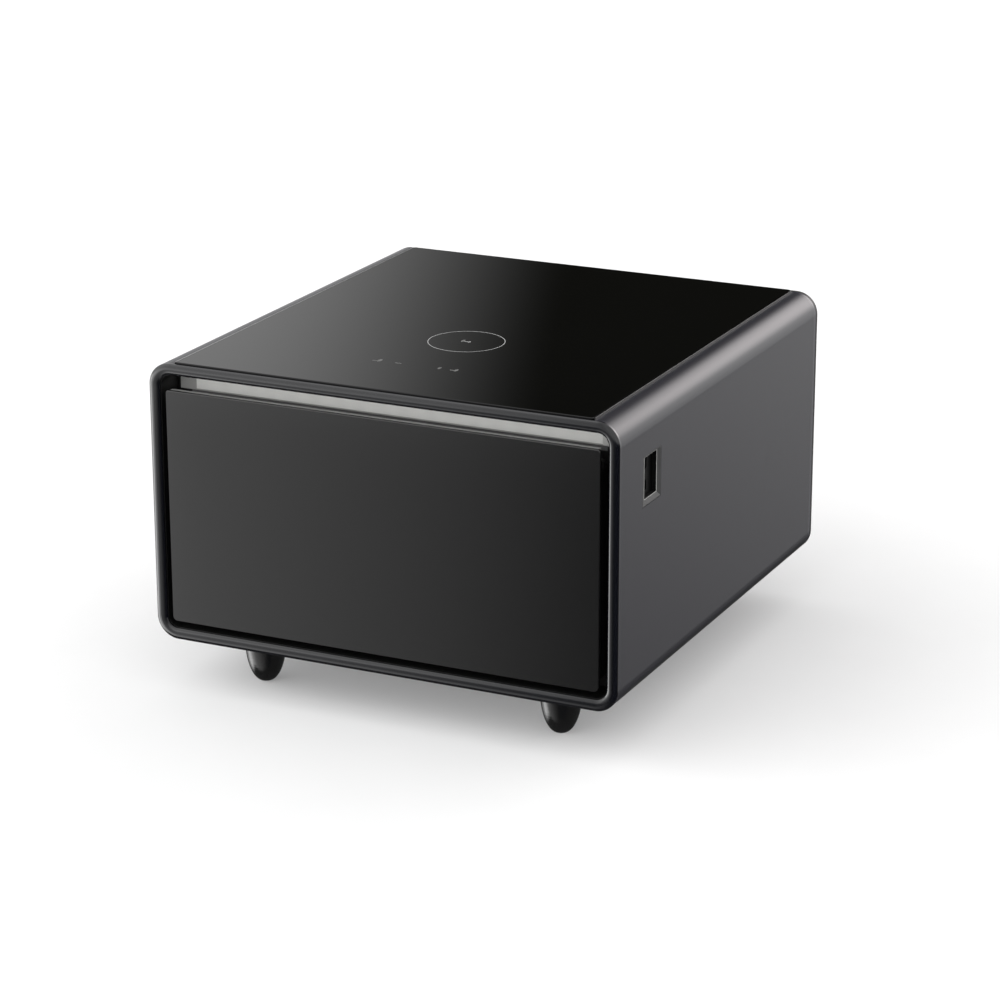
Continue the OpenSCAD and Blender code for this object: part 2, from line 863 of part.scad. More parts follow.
// Half of the shell's section: straight wall and a shallow dome at each end
module shell_half_section() {
  dome_r = (comp_r * comp_r + comp_dome * comp_dome) / (2 * comp_dome);
  intersection() {
    square([comp_r, comp_h]);
    translate([0, comp_h - dome_r])
      circle(dome_r);
    translate([0, dome_r])
      circle(dome_r);
  }
  translate([0, comp_h * comp_seam_share])
    square([comp_r + comp_seam_r, comp_seam_h]);
}
discharge_x = comp_x + comp_r * stub_share;
comp_top_z = comp_base_z + comp_h;
relay_z = comp_base_z + comp_plate_t + relay_d;
module compressor() {
  color(frame_black)
    difference() {
      union() {
        translate([comp_x, bay_mid_y, comp_base_z])
          rotate_extrude()
            shell_half_section();
        translate([comp_x - comp_plate_w / 2, bay_mid_y - comp_plate_d / 2, comp_base_z])
          cube([comp_plate_w, comp_plate_d, comp_plate_t]);
        rod_z([comp_x, bay_mid_y, comp_base_z], comp_dome, comp_r * skirt_share);
        translate([comp_x - relay_w / 2, bay_mid_y - comp_r - comp_seam_r - relay_out, relay_z])
          cube([relay_w, relay_d + comp_seam_r, relay_h]);
        rod_z([discharge_x, bay_mid_y, comp_top_z - comp_dome], comp_dome + stub_h, pipe_r);
        rod_z([suction_x, bay_mid_y, comp_top_z - comp_dome], comp_dome + stub_h, pipe_r);
      }
      at_comp_bolts()
        rod_z([0, 0, comp_base_z - over], comp_plate_t + 2 * over, grommet_neck_r + run_gap);
    }
}
module compressor_grommets() {
  color(frame_black)
    at_comp_bolts()
      difference() {
        union() {
          rod_z([0, 0, base_z], comp_lift, grommet_r);
          rod_z([0, 0, base_z], comp_lift + comp_plate_t, grommet_neck_r);
          rod_z([0, 0, comp_base_z + comp_plate_t], comp_plate_t, grommet_r);
        }
        rod_z([0, 0, base_z - over], comp_lift + 2 * comp_plate_t + 2 * over,
              comp_bolt_r + run_gap);
      }
}
module compressor_bolts() {
  head_z = comp_base_z + 2 * comp_plate_t;
  color(bright_metal)
    at_comp_bolts() {
      rod_z([0, 0, floor_z], head_z - floor_z + comp_bolt_r / 2, comp_bolt_r);
      translate([0, 0, head_z])
        cylinder(h = comp_bolt_r, r = 2 * comp_bolt_r, $fn = 6);
    }
}

// Condenser: fins across two rows of tubes, with bends at the ends and a plate at each side
cond_x0 = 70;
cond_depth = 44;
bridge_rise = 30;
bridge_z = comp_top_z + stub_h + bridge_rise;
cond_drop = 48;
cond_h = bridge_z - pipe_bend_r - cond_drop - stub_h - base_z;
cond_len = 150;
fin_t = 0.8;
cond_fin_pitch = 7.5;
tube_r = 4.5;
cond_rows = 2;
cond_cols = 4;
cond_y0 = bay_mid_y - cond_len / 2;
cond_row_dx = cond_depth / cond_rows;
cond_col_dz = cond_h / cond_cols;
cond_fins = round(cond_len / cond_fin_pitch);
function cond_tube_x(i) = cond_x0 + cond_row_dx * (i + 0.5);
function cond_tube_z(j) = base_z + cond_col_dz * (j + 0.5);
// A half-circle bend of tube in X and Y, for a row of tubes
module tube_bend(r, span) {
  rotate_extrude(angle = 180)
    translate([span / 2, 0])
      circle(r);
}
cond_out_z = cond_tube_z(0);
cond_out_y = cond_y0 + 3.5 * cond_len / cond_fins;
cond_in_x = cond_tube_x(1);
module condenser() {
  color(steel_gray) {
    for (i = [0 : cond_fins]) {
      translate([cond_x0, cond_y0 + i * cond_len / cond_fins - fin_t / 2, base_z])
        cube([cond_depth, fin_t, cond_h]);
    }
    for (i = [0 : cond_rows - 1], j = [0 : cond_cols - 1]) {
      rod_y([cond_tube_x(i), cond_y0 - fin_t, cond_tube_z(j)], cond_len + 2 * fin_t, tube_r);
    }
    for (j = [0 : cond_cols - 1]) {
      translate([cond_x0 + cond_depth / 2, cond_y0 + cond_len + fin_t, cond_tube_z(j)])
        tube_bend(tube_r, cond_row_dx);
    }
    rod_z([cond_in_x, bay_mid_y, cond_tube_z(cond_cols - 1)],
          cond_col_dz / 2 + stub_h, pipe_r);
    rod_x([cond_x0 - stub_h, cond_out_y, cond_out_z], stub_h + cond_row_dx / 2, pipe_r);
  }
}

// Fan shroud: a square plate with a round duct, four struts and the motor with its shaft
shroud_gap = 2;
shroud_x = cond_x0 + cond_depth + shroud_gap;
shroud_t = 24;
shroud_w = 130;
duct_gap = 3;
duct_t = 2;
motor_r = 18;
motor_l = 10;
strut_w = 6;
strut_t = 3;
shaft_r = 2.5;
cond_fan_z = base_z + shroud_w / 2;
module fan_shroud() {
  duct_r = cond_fan_r + duct_gap;
  color(frame_black)
    difference() {
      union() {
        translate([shroud_x, bay_mid_y - shroud_w / 2, base_z])
          cube([duct_t, shroud_w, shroud_w]);
        rod_x([shroud_x, bay_mid_y, cond_fan_z], shroud_t, duct_r + duct_t);
      }
      difference() {
        rod_x([shroud_x - over, bay_mid_y, cond_fan_z], shroud_t + 2 * over, duct_r);
        rod_x([shroud_x + shroud_t - motor_l, bay_mid_y, cond_fan_z], motor_l, motor_r);
        for (a = [45, 135]) {
          translate([shroud_x + shroud_t - strut_t, bay_mid_y, cond_fan_z])
            rotate([a, 0, 0])
              translate([0, -strut_w / 2, -duct_r - over])
                cube([strut_t, strut_w, 2 * (duct_r + over)]);
        }
        rod_x([shroud_x + duct_t, bay_mid_y, cond_fan_z], shroud_t - duct_t, shaft_r);
      }
    }
}

// An axial fan about X: a cupped hub with a bore and flat blades set at an angle
blade_t = 1.5;
blade_pitch = 35;
module fan(r, hub_r, hub_l, blades) {
  difference() {
    union() {
      rod_x([0, 0, 0], hub_l, hub_r);
      intersection() {
        rod_x([0, 0, 0], hub_l, r);
        for (i = [0 : blades - 1]) {
          rotate([i * 360 / blades, 0, 0])
            translate([hub_l / 2, 0, hub_r / 2])
              rotate([0, 0, blade_pitch])
                translate([-blade_t / 2, -hub_r, 0])
                  cube([blade_t, 2 * hub_r, r]);
        }
      }
    }
    rod_x([-over, 0, 0], hub_l + 2 * over, shaft_r + run_gap);
  }
}
cond_hub_l = 9;
cond_hub_r = 18;
fan_blades = 7;
module condenser_fan() {
  color(frame_black)
    translate([shroud_x + duct_t, bay_mid_y, cond_fan_z])
      fan(cond_fan_r, cond_hub_r, cond_hub_l, fan_blades);
}

// Filter drier: a fat copper capsule that stands between the condenser and the capillary
drier_r = 10;
drier_h = 70;
drier_neck = 12;
drier_x = capillary_x;
drier_y = cond_out_y;
drier_z = cond_out_z + pipe_bend_r + drier_neck;
module filter_drier() {
  color(copper_brown)
    translate([drier_x, drier_y, drier_z])
      rotate_extrude()
        polygon([[0, 0], [pipe_r, 0], [drier_r, drier_neck], [drier_r, drier_h - drier_neck],
                 [capillary_r, drier_h], [0, drier_h]]);
}

// A quarter bend of pipe in the XY plane, from +X round to +Y about its centre
module quarter_bend(r, bend_r) {
  rotate_extrude(angle = 90)
    translate([bend_r, 0])
      circle(r);
}

// Discharge pipe: up from the compressor, across, and down into the condenser
module discharge_pipe() {
  start_z = comp_top_z + stub_h;
  end_z = cond_tube_z(cond_cols - 1) + cond_col_dz / 2 + stub_h;
  color(copper_brown)
    translate([0, bay_mid_y, 0]) {
      rod_z([discharge_x, 0, start_z], bridge_z - pipe_bend_r - start_z, pipe_r);
      translate([discharge_x + pipe_bend_r, 0, bridge_z - pipe_bend_r])
        rotate([90, 0, 0])
          rotate([0, 0, 90])
            quarter_bend(pipe_r, pipe_bend_r);
      rod_x([discharge_x + pipe_bend_r, 0, bridge_z],
            cond_in_x - discharge_x - 2 * pipe_bend_r, pipe_r);
      translate([cond_in_x - pipe_bend_r, 0, bridge_z - pipe_bend_r])
        rotate([90, 0, 0])
          quarter_bend(pipe_r, pipe_bend_r);
      rod_z([cond_in_x, 0, end_z], bridge_z - pipe_bend_r - end_z, pipe_r);
    }
}

// Liquid pipe: from the condenser's lowest tube across and up to the drier
module liquid_pipe() {
  turn_x = drier_x + pipe_bend_r;
  color(copper_brown)
    translate([0, drier_y, 0]) {
      rod_x([turn_x, 0, cond_out_z], cond_x0 - stub_h - turn_x, pipe_r);
      translate([turn_x, 0, cond_out_z + pipe_bend_r])
        rotate([90, 0, 0])
          rotate([0, 0, 180])
            quarter_bend(pipe_r, pipe_bend_r);
      rod_z([drier_x, 0, cond_out_z + pipe_bend_r], drier_neck, pipe_r);
    }
}

// Capillary tube: from the drier up and through the wall to the evaporator
module capillary_tube() {
  top_z = drier_z + drier_h;
  color(copper_brown) {
    rod_z([drier_x, drier_y, top_z], pass_z - pipe_bend_r - top_z, capillary_r);
    translate([drier_x, drier_y - pipe_bend_r, pass_z - pipe_bend_r])
      rotate([90, 0, 90])
        quarter_bend(capillary_r, pipe_bend_r);
    rod_y([drier_x, evap_back_y, pass_z], drier_y - pipe_bend_r - evap_back_y, capillary_r);
  }
}

// Suction pipe: from the evaporator back through the wall and down to the compressor
module suction_pipe() {
  end_z = comp_top_z + stub_h;
  color(copper_brown) {
    rod_y([suction_x, evap_back_y, pass_z], bay_mid_y - pipe_bend_r - evap_back_y, pipe_r);
    translate([suction_x, bay_mid_y - pipe_bend_r, pass_z - pipe_bend_r])
      rotate([90, 0, 90])
        quarter_bend(pipe_r, pipe_bend_r);
    rod_z([suction_x, bay_mid_y, end_z], pass_z - pipe_bend_r - end_z, pipe_r);
  }
}

// Evaporator: upright fins on tubes that run across the back of the cavity
evap_hw = 190;
evap_depth = 26;
evap_gap = 4;
evap_fin_pitch = 16;
evap_rows = 4;
evap_low_share = 0.26;
evap_back_y = liner_in_back_y - evap_gap;
evap_low_z = cell_low_z + evap_low_share * cell_h;
evap_row_dz = (pass_z - evap_low_z) / (evap_rows - 0.5);
evap_top_z = evap_low_z + evap_rows * evap_row_dz;
evap_mid_y = evap_back_y - evap_depth / 2;
module evaporator() {
  fins = floor(2 * evap_hw / evap_fin_pitch);
  color(bright_metal) {
    for (i = [0 : fins]) {
      translate([-evap_hw + i * 2 * evap_hw / fins - fin_t / 2, evap_back_y - evap_depth,
                 evap_low_z])
        cube([fin_t, evap_depth, evap_rows * evap_row_dz]);
    }
    for (j = [0 : evap_rows - 1]) {
      rod_x([-evap_hw - tube_r, evap_mid_y, evap_low_z + (j + 0.5) * evap_row_dz],
            2 * (evap_hw + tube_r), tube_r);
    }
    for (sx = [-1, 1]) {
      mirror([sx < 0 ? 1 : 0, 0, 0])
        span_box([evap_hw, evap_back_y - evap_depth, evap_low_z],
                 [evap_hw + 2 * fin_t, liner_in_back_y, evap_top_z]);
    }
    for (x = [suction_x, capillary_x]) {
      rod_y([x, evap_mid_y, pass_z], evap_back_y - evap_mid_y, pipe_r);
    }
  }
}

// Evaporator cover: a panel with return-air slots below and the fan's duct above
evap_cover_t = 2.5;
evap_air_gap = 10;
evap_cover_y = evap_back_y - evap_depth - evap_air_gap;
evap_front_y = evap_cover_y - evap_cover_t;
evap_fan_z = (evap_top_z + cell_top_z) / 2;
evap_fan_r = (cell_top_z - evap_top_z) / 2 - duct_clear - duct_t - duct_gap;
evap_duct_r = evap_fan_r + duct_gap;
evap_duct_l = 20;
air_slot_w = 5;
air_slot_h = 30;
air_slot_pitch = 22;
air_slot_count = 8;
air_slot_z = 24;
module evaporator_cover() {
  color(liner_white)
    difference() {
      union() {
        along_y(evap_front_y, evap_cover_y)
          cell_outline(-seat);
        rod_y([0, evap_front_y, evap_fan_z], evap_duct_l, evap_duct_r + duct_t);
      }
      rod_y([0, evap_front_y - over, evap_fan_z], evap_duct_l + 2 * over, evap_duct_r);
      for (i = [-air_slot_count : air_slot_count]) {
        translate([i * air_slot_pitch, evap_front_y + evap_cover_t / 2,
                   cell_low_z + air_slot_z + air_slot_h / 2])
          cube([air_slot_w, evap_cover_t + 2 * over, air_slot_h], center = true);
      }
    }
}

// Evaporator fan and the cross that holds its motor behind the duct
evap_hub_r = 14;
evap_hub_l = 9;
mount_t = 3;
evap_fan_y = evap_cover_y + evap_duct_l / 2 - evap_hub_l;
evap_mount_y = evap_front_y + evap_duct_l;
module evaporator_fan_mount() {
  arm = evap_duct_r + duct_t / 2;
  motor_y = evap_fan_y + evap_hub_l + seat;
  color(frame_black)
    translate([0, 0, evap_fan_z]) {
      along_y(evap_mount_y, evap_mount_y + mount_t)
        for (a = [45, 135]) {
          rotate(a)
            square([strut_w, 2 * arm], center = true);
        }
      along_y(motor_y, evap_mount_y + mount_t / 2)
        circle(evap_hub_r);
      along_y(evap_fan_y, motor_y + mount_t)
        circle(shaft_r);
    }
}
module evaporator_fan() {
  color(liner_white)
    translate([0, evap_fan_y, evap_fan_z])
      rotate([0, 0, 90])
        fan(evap_fan_r, evap_hub_r, evap_hub_l, fan_blades);
}

// Control board: upright on the bulkhead, with a transformer, capacitors and a finned heat sink
ctrl_w = 150;
ctrl_h = 90;
ctrl_x = -40;
ctrl_post_h = 8;
ctrl_block = 28;
ctrl_cap_r = 7;
ctrl_cap_h = 22;
ctrl_fin_t = 2;
ctrl_fins = 5;
ctrl_fin_h = 20;
ctrl_z = foam_top_z - ctrl_h / 2 - ctrl_post_h;
module control_board() {
  face = ctrl_post_h + board_t;
  color(board_green)
    translate([ctrl_x, bay_y, ctrl_z])
      rotate([-90, 0, 0]) {
        board([ctrl_w, ctrl_h], ctrl_post_h);
        translate([-ctrl_w / 4, 0, face - seat])
          linear_extrude(ctrl_block)
            square(ctrl_block, center = true);
        for (s = [-1, 1]) {
          rod_z([0, s * 2 * ctrl_cap_r, face - seat], ctrl_cap_h, ctrl_cap_r);
        }
        for (i = [0 : ctrl_fins - 1]) {
          translate([ctrl_w / 4 + (i - (ctrl_fins - 1) / 2) * 2 * ctrl_fin_t, 0, face - seat])
            linear_extrude(ctrl_fin_h)
              square([ctrl_fin_t, ctrl_block], center = true);
        }
        translate([ctrl_w / 4, 0, face - seat])
          linear_extrude(ctrl_fin_t)
            square([ctrl_block, ctrl_block], center = true);
      }
}

// Power inlet: a three-pin socket low in the rear cover
inlet_side = 74.5;
inlet_lift = 52;
inlet_x = inlet_side - half_w;
inlet_z = wrap_low_z + inlet_lift;
inlet_w = 30;
inlet_h = 22.5;
inlet_flange = 4;
inlet_flange_t = 2;
inlet_depth = 22;
inlet_wall = 2.5;
inlet_socket_depth = 16;
pin_w = 2;
pin_h = 4;
pin_l = 11;
pin_dx = 7;
pin_low = 2.5;
pin_up = 2.5;
module power_inlet() {
  face_y = cover_out_y + inlet_flange_t;
  socket_back_y = face_y - inlet_socket_depth;
  color(frame_black)
    translate([inlet_x, 0, inlet_z]) {
      difference() {
        union() {
          along_y(cover_out_y, face_y)
            round_rect(inlet_w + 2 * inlet_flange, inlet_h + 2 * inlet_flange, inlet_flange);
          along_y(cover_out_y - inlet_depth, face_y)
            square([inlet_w, inlet_h], center = true);
        }
        along_y(socket_back_y, face_y + over)
          square([inlet_w - 2 * inlet_wall, inlet_h - 2 * inlet_wall], center = true);
      }
      for (place = [[-pin_dx, -pin_low], [pin_dx, -pin_low], [0, pin_up]]) {
        translate([place[0], socket_back_y + pin_l / 2 - seat, place[1]])
          cube([pin_w, pin_l + 2 * seat, pin_h], center = true);
      }
    }
}

// Rear cover with two fields of hooded louvres, and its screws
louvre_w = 120;
louvre_h = 5;
louvre_pitch = 16;
louvre_rows = 9;
louvre_out = 3.5;
louvre_t = 1.2;
louvre_end = 6;
louvre_x_shares = [-0.56, 0.56];
louvre_low = 70;
module at_louvres() {
  for (share = louvre_x_shares, j = [0 : louvre_rows - 1]) {
    translate([share * half_w, 0, wrap_low_z + louvre_low + j * louvre_pitch])
      children();
  }
}
// One hood: a sloping blade with a cheek at each end
module louvre_hood() {
  tip_y = cover_out_y + louvre_out;
  in_y = cover_out_y - cover_t / 2;
  along_x(-louvre_w / 2, louvre_w / 2)
    polygon([[in_y, louvre_h + louvre_t], [cover_out_y, louvre_h + louvre_t],
             [tip_y, louvre_t], [tip_y, 0], [tip_y - louvre_t, 0],
             [cover_out_y, louvre_h - louvre_t / 2], [in_y, louvre_h - louvre_t / 2]]);
  for (x = [-louvre_w / 2, louvre_w / 2 - louvre_t]) {
    along_x(x, x + louvre_t)
      polygon([[in_y, 0], [in_y, louvre_h + louvre_t], [cover_out_y, louvre_h + louvre_t],
               [tip_y, louvre_t], [tip_y, 0]]);
  }
}
module rear_cover() {
  color(shell_gray)
    difference() {
      union() {
        intersection() {
          along_y(cover_in_y, cover_out_y)
            body_outline(shell_in);
          below(ledge_low_z - seat);
        }
        at_louvres()
          louvre_hood();
      }
      at_louvres()
        span_box([louvre_t - louvre_w / 2, cover_in_y - over, 0],
                 [louvre_w / 2 - louvre_t, cover_out_y + seat, louvre_h - louvre_t / 2]);
      at_cover_screws()
        rod_y([0, cover_in_y - over, 0], cover_t + 2 * over, screw_r + run_gap);
      translate([inlet_x, 0, inlet_z])
        span_box([-inlet_w / 2 - seat, cover_in_y - over, -inlet_h / 2 - seat],
                 [inlet_w / 2 + seat, cover_out_y + over, inlet_h / 2 + seat]);
    }
}
screw_head_r = 4;
screw_head_h = 2.4;
screw_l = 9;
screw_slot = 1;
module rear_cover_screws() {
  color(bright_metal)
    at_cover_screws()
      difference() {
        union() {
          rod_y([0, cover_out_y - screw_l, 0], screw_l, screw_r);
          rod_y([0, cover_out_y, 0], screw_head_h, screw_head_r);
        }
        for (a = [0, 90]) {
          translate([0, cover_out_y + screw_head_h, 0])
            rotate([0, a, 0])
              cube([screw_head_r, 2 * screw_slot, screw_slot], center = true);
        }
      }
}

// Slides: three C sections nested in each other, at half height of the drawer box
slide_web_t = 1.5;
slide_gap = 0.3;
slide_lip_gap = 2;
box_low = 10;
box_low_z = cell_low_z + box_low;
box_top_z = cell_top_z - box_top_gap;
box_y0 = cell_y + slide_in;
box_y1 = evap_front_y - box_back_gap - rim_w;
slide_z = (box_low_z + box_top_z) / 2;
box_hw = cell_hw - slide_t;
outer_lip_x = box_hw + slide_lip_gap;
middle_web_x1 = cell_hw - slide_web_t - slide_gap;
middle_h = slide_h - 2 * slide_web_t - 2 * slide_gap;
middle_t = 3;
inner_h = middle_h - 2 * middle_t - 2 * slide_gap;
inner_t = 2.5;
inner_lip_x1 = middle_web_x1 - slide_web_t - slide_gap;

// A C section in X and Z with its web at x_web and its lips reaching to x_lip
module c_section(x_web, x_lip, h, web_t, lip_t) {
  dir = sign(x_lip - x_web);
  x0 = min(x_web, x_lip);
  web_x0 = dir > 0 ? x_web : x_web - web_t;
  translate([web_x0, slide_z - h / 2])
    square([web_t, h]);
  for (z = [slide_z - h / 2, slide_z + h / 2 - lip_t]) {
    translate([x0, z])
      square([abs(x_lip - x_web), lip_t]);
  }
}
module slide_outer() {
  color(bright_metal)
    along_y(box_y0, box_y1)
      c_section(cell_hw, outer_lip_x, slide_h, slide_web_t, slide_web_t);
}
module slide_middle() {
  color(bright_metal)
    along_y(box_y0, box_y1)
      c_section(middle_web_x1, outer_lip_x, middle_h, slide_web_t, middle_t);
}
module slide_inner() {
  color(bright_metal)
    along_y(box_y0, box_y1)
      c_section(box_hw, inner_lip_x1, inner_h, slide_web_t, inner_t);
}
module slide_outer_left() {
  mirror([1, 0, 0])
    slide_outer();
}
module slide_outer_right() {
  slide_outer();
}
module slide_middle_left() {
  mirror([1, 0, 0])
    slide_middle();
}
module slide_middle_right() {
  slide_middle();
}
module slide_inner_left() {
  mirror([1, 0, 0])
    slide_inner();
}
module slide_inner_right() {
  slide_inner();
}

// Drawer panel: flat plate flush with the ring, with a fine chamfer round its face
panel_hw = half_w - ring_w - panel_gap;
panel_low_z = wrap_low_z + ring_w + panel_gap_low;
panel_top_z = wrap_top_z - ring_w - finger_gap;
panel_back_y = front_y + panel_t;
panel_chamfer = 0.8;
module panel_outline(inset) {
  for (sx = [-1, 1]) {
    translate([sx * (panel_hw - panel_r_low), panel_low_z + panel_r_low])
      circle(panel_r_low - inset, $fn = hull_fn);
    translate([sx * (panel_hw - panel_r_top), panel_top_z - panel_r_top])
      circle(panel_r_top - inset, $fn = hull_fn);
  }
}
module drawer_panel() {
  color(shell_gray)
    hull() {
      along_y(front_y + panel_chamfer, panel_back_y)
        panel_outline(0);
      along_y(front_y, panel_back_y)
        panel_outline(panel_chamfer);
    }
}

// Pull rail: a hooked strip along the panel's back, which the fingers reach over
rail_d = 7;
rail_t = 2;
rail_lip_h = 6;
rail_in = 4;
rail_down = 0.4;
rail_low_gap = 1;
module pull_rail() {
  rail_top_z = panel_top_z - rail_down;
  rail_low_z = panel_top_z - scoop_h + rail_low_gap;
  color(bright_metal)
    along_x(rail_in - panel_hw, panel_hw - rail_in) {
      translate([panel_back_y, rail_low_z])
        square([rail_t, rail_top_z - rail_low_z]);
      translate([panel_back_y, rail_top_z - rail_t])
        square([rail_d, rail_t]);
      translate([panel_back_y + rail_d - rail_t, rail_top_z - rail_lip_h])
        square([rail_t, rail_lip_h]);
    }
}

// Insulated door behind the panel, with a finger groove along its top
door_in = 6;
door_r = 8;
door_hw = panel_hw - door_in;
door_low_z = panel_low_z + door_in;
door_top_z = panel_top_z - scoop_h;
door_back_y = panel_back_y + door_t;
module drawer_door() {
  groove_y = panel_back_y + scoop_r;
  color(frame_black)
    difference() {
      along_y(panel_back_y, door_back_y)
        translate([0, (door_low_z + door_top_z) / 2])
          round_rect(2 * door_hw, door_top_z - door_low_z, door_r);
      rod_x([-door_hw - over, groove_y, door_top_z], 2 * (door_hw + over), scoop_r);
    }
}

// Door liner: a plate that carries the gasket and a raised pan that enters the cavity
door_liner_t = 2.5;
pan_gap = 12;
pan_r = 12;
door_liner_y = door_back_y + door_liner_t;
module door_liner() {
  plate_in = 2;
  color(liner_white) {
    along_y(door_back_y, door_liner_y)
      translate([0, (door_low_z + door_top_z) / 2])
        round_rect(2 * (door_hw - plate_in), door_top_z - door_low_z - 2 * plate_in,
                   door_r - plate_in);
    along_y(door_back_y, box_y0)
      cell_outline(-pan_gap);
  }
}

// Door gasket: a seal with a foot, a narrow waist and a soft bulb
gasket_margin = 2.5;
gasket_w = 9;
gasket_waist = 2.5;
gasket_foot_t = 2.5;
gasket_bulb_t = 3;
module gasket_ring(inset) {
  difference() {
    cell_outline(gasket_margin + gasket_w - inset);
    cell_outline(gasket_margin + inset);
  }
}
module door_gasket() {
  gasket_back_y = seal_y - seat;
  color(ring_black) {
    along_y(door_liner_y, door_liner_y + gasket_foot_t)
      gasket_ring(0);
    along_y(door_liner_y, gasket_back_y)
      gasket_ring(gasket_waist);
    along_y(gasket_back_y - gasket_bulb_t, gasket_back_y)
      gasket_ring(0);
  }
}

// Drawer box: a moulded bin with a rolled rim, and its divider
rim_t = 2.5;
box_floor_t = 3;
box_mid_y = (box_y0 + box_y1) / 2;
module box_plan(inset) {
  translate([0, box_mid_y])
    round_rect(2 * (box_hw - inset), box_y1 - box_y0 - 2 * inset, box_r - inset);
}
module drawer_box() {
  color(liner_white)
    difference() {
      union() {
        along_z(box_low_z, box_top_z)
          box_plan(0);
        intersection() {
          along_z(box_top_z - rim_t, box_top_z)
            box_plan(-rim_w);
          span_box([-body_w, box_y0, 0], [body_w, box_y1 + rim_w, total_h]);
        }
      }
      along_z(box_low_z + box_floor_t, box_top_z + over)
        box_plan(box_t);
    }
}
divider_t = 3;
divider_drop = 40;
divider_grip_r = 18;
module drawer_divider() {
  top_z = box_top_z - divider_drop;
  color(liner_white)
    difference() {
      span_box([-divider_t / 2, box_y0 + box_t, box_low_z + box_floor_t],
               [divider_t / 2, box_y1 - box_t, top_z]);
      rod_x([-divider_t, box_mid_y, top_z], 2 * divider_t, divider_grip_r);
    }
}

outer_wrap();
front_ring();
front_frame();
seal_frame();
glass_top();
glass_edge_trims();
top_tray();
charging_coil();
charging_board();
touch_board();
light_housing();
light_diffuser();
light_end_caps();
led_strip();
cabinet_liner();
insulation();
bulkhead();
base_plate();
feet();
foot_studs();
foot_plates();
usb_bezel();
usb_ports();
compressor();
compressor_grommets();
compressor_bolts();
condenser();
fan_shroud();
condenser_fan();
filter_drier();
discharge_pipe();
liquid_pipe();
capillary_tube();
suction_pipe();
evaporator();
evaporator_cover();
evaporator_fan_mount();
evaporator_fan();
control_board();
power_inlet();
rear_cover();
rear_cover_screws();
slide_outer_left();
slide_outer_right();
slide_middle_left();
slide_middle_right();
slide_inner_left();
slide_inner_right();
drawer_panel();
pull_rail();
drawer_door();
door_liner();
door_gasket();
drawer_box();
drawer_divider();
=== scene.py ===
# Low refrigerated cabinet with a drawer, dressed for a studio picture: light, finishes, marks and small fittings
import json
import math
import bpy
import bmesh
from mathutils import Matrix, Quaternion, Vector


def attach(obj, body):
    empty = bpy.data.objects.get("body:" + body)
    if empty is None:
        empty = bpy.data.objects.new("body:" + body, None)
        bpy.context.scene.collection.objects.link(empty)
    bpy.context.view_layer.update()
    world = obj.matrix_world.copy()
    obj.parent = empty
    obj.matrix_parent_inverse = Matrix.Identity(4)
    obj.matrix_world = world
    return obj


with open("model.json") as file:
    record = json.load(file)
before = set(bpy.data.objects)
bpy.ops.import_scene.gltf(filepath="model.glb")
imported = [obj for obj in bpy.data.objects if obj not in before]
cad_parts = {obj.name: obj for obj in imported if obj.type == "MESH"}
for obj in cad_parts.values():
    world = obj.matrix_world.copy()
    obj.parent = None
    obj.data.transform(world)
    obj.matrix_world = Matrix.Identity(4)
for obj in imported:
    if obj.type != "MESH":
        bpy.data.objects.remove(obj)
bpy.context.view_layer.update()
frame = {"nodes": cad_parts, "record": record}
nodes = frame["nodes"]
millimetre = 0.001
white = (1.0, 1.0, 1.0)


# Shader maths written as expressions on sockets

class Signal:
    def __init__(self, board, socket):
        self.board = board
        self.socket = socket

    def __add__(self, other):
        return self.board.maths("ADD", self, other)

    def __sub__(self, other):
        return self.board.maths("SUBTRACT", self, other)

    def __rsub__(self, other):
        return self.board.maths("SUBTRACT", other, self)

    def __mul__(self, other):
        return self.board.maths("MULTIPLY", self, other)

    def __truediv__(self, other):
        return self.board.maths("DIVIDE", self, other)

    __radd__ = __add__
    __rmul__ = __mul__


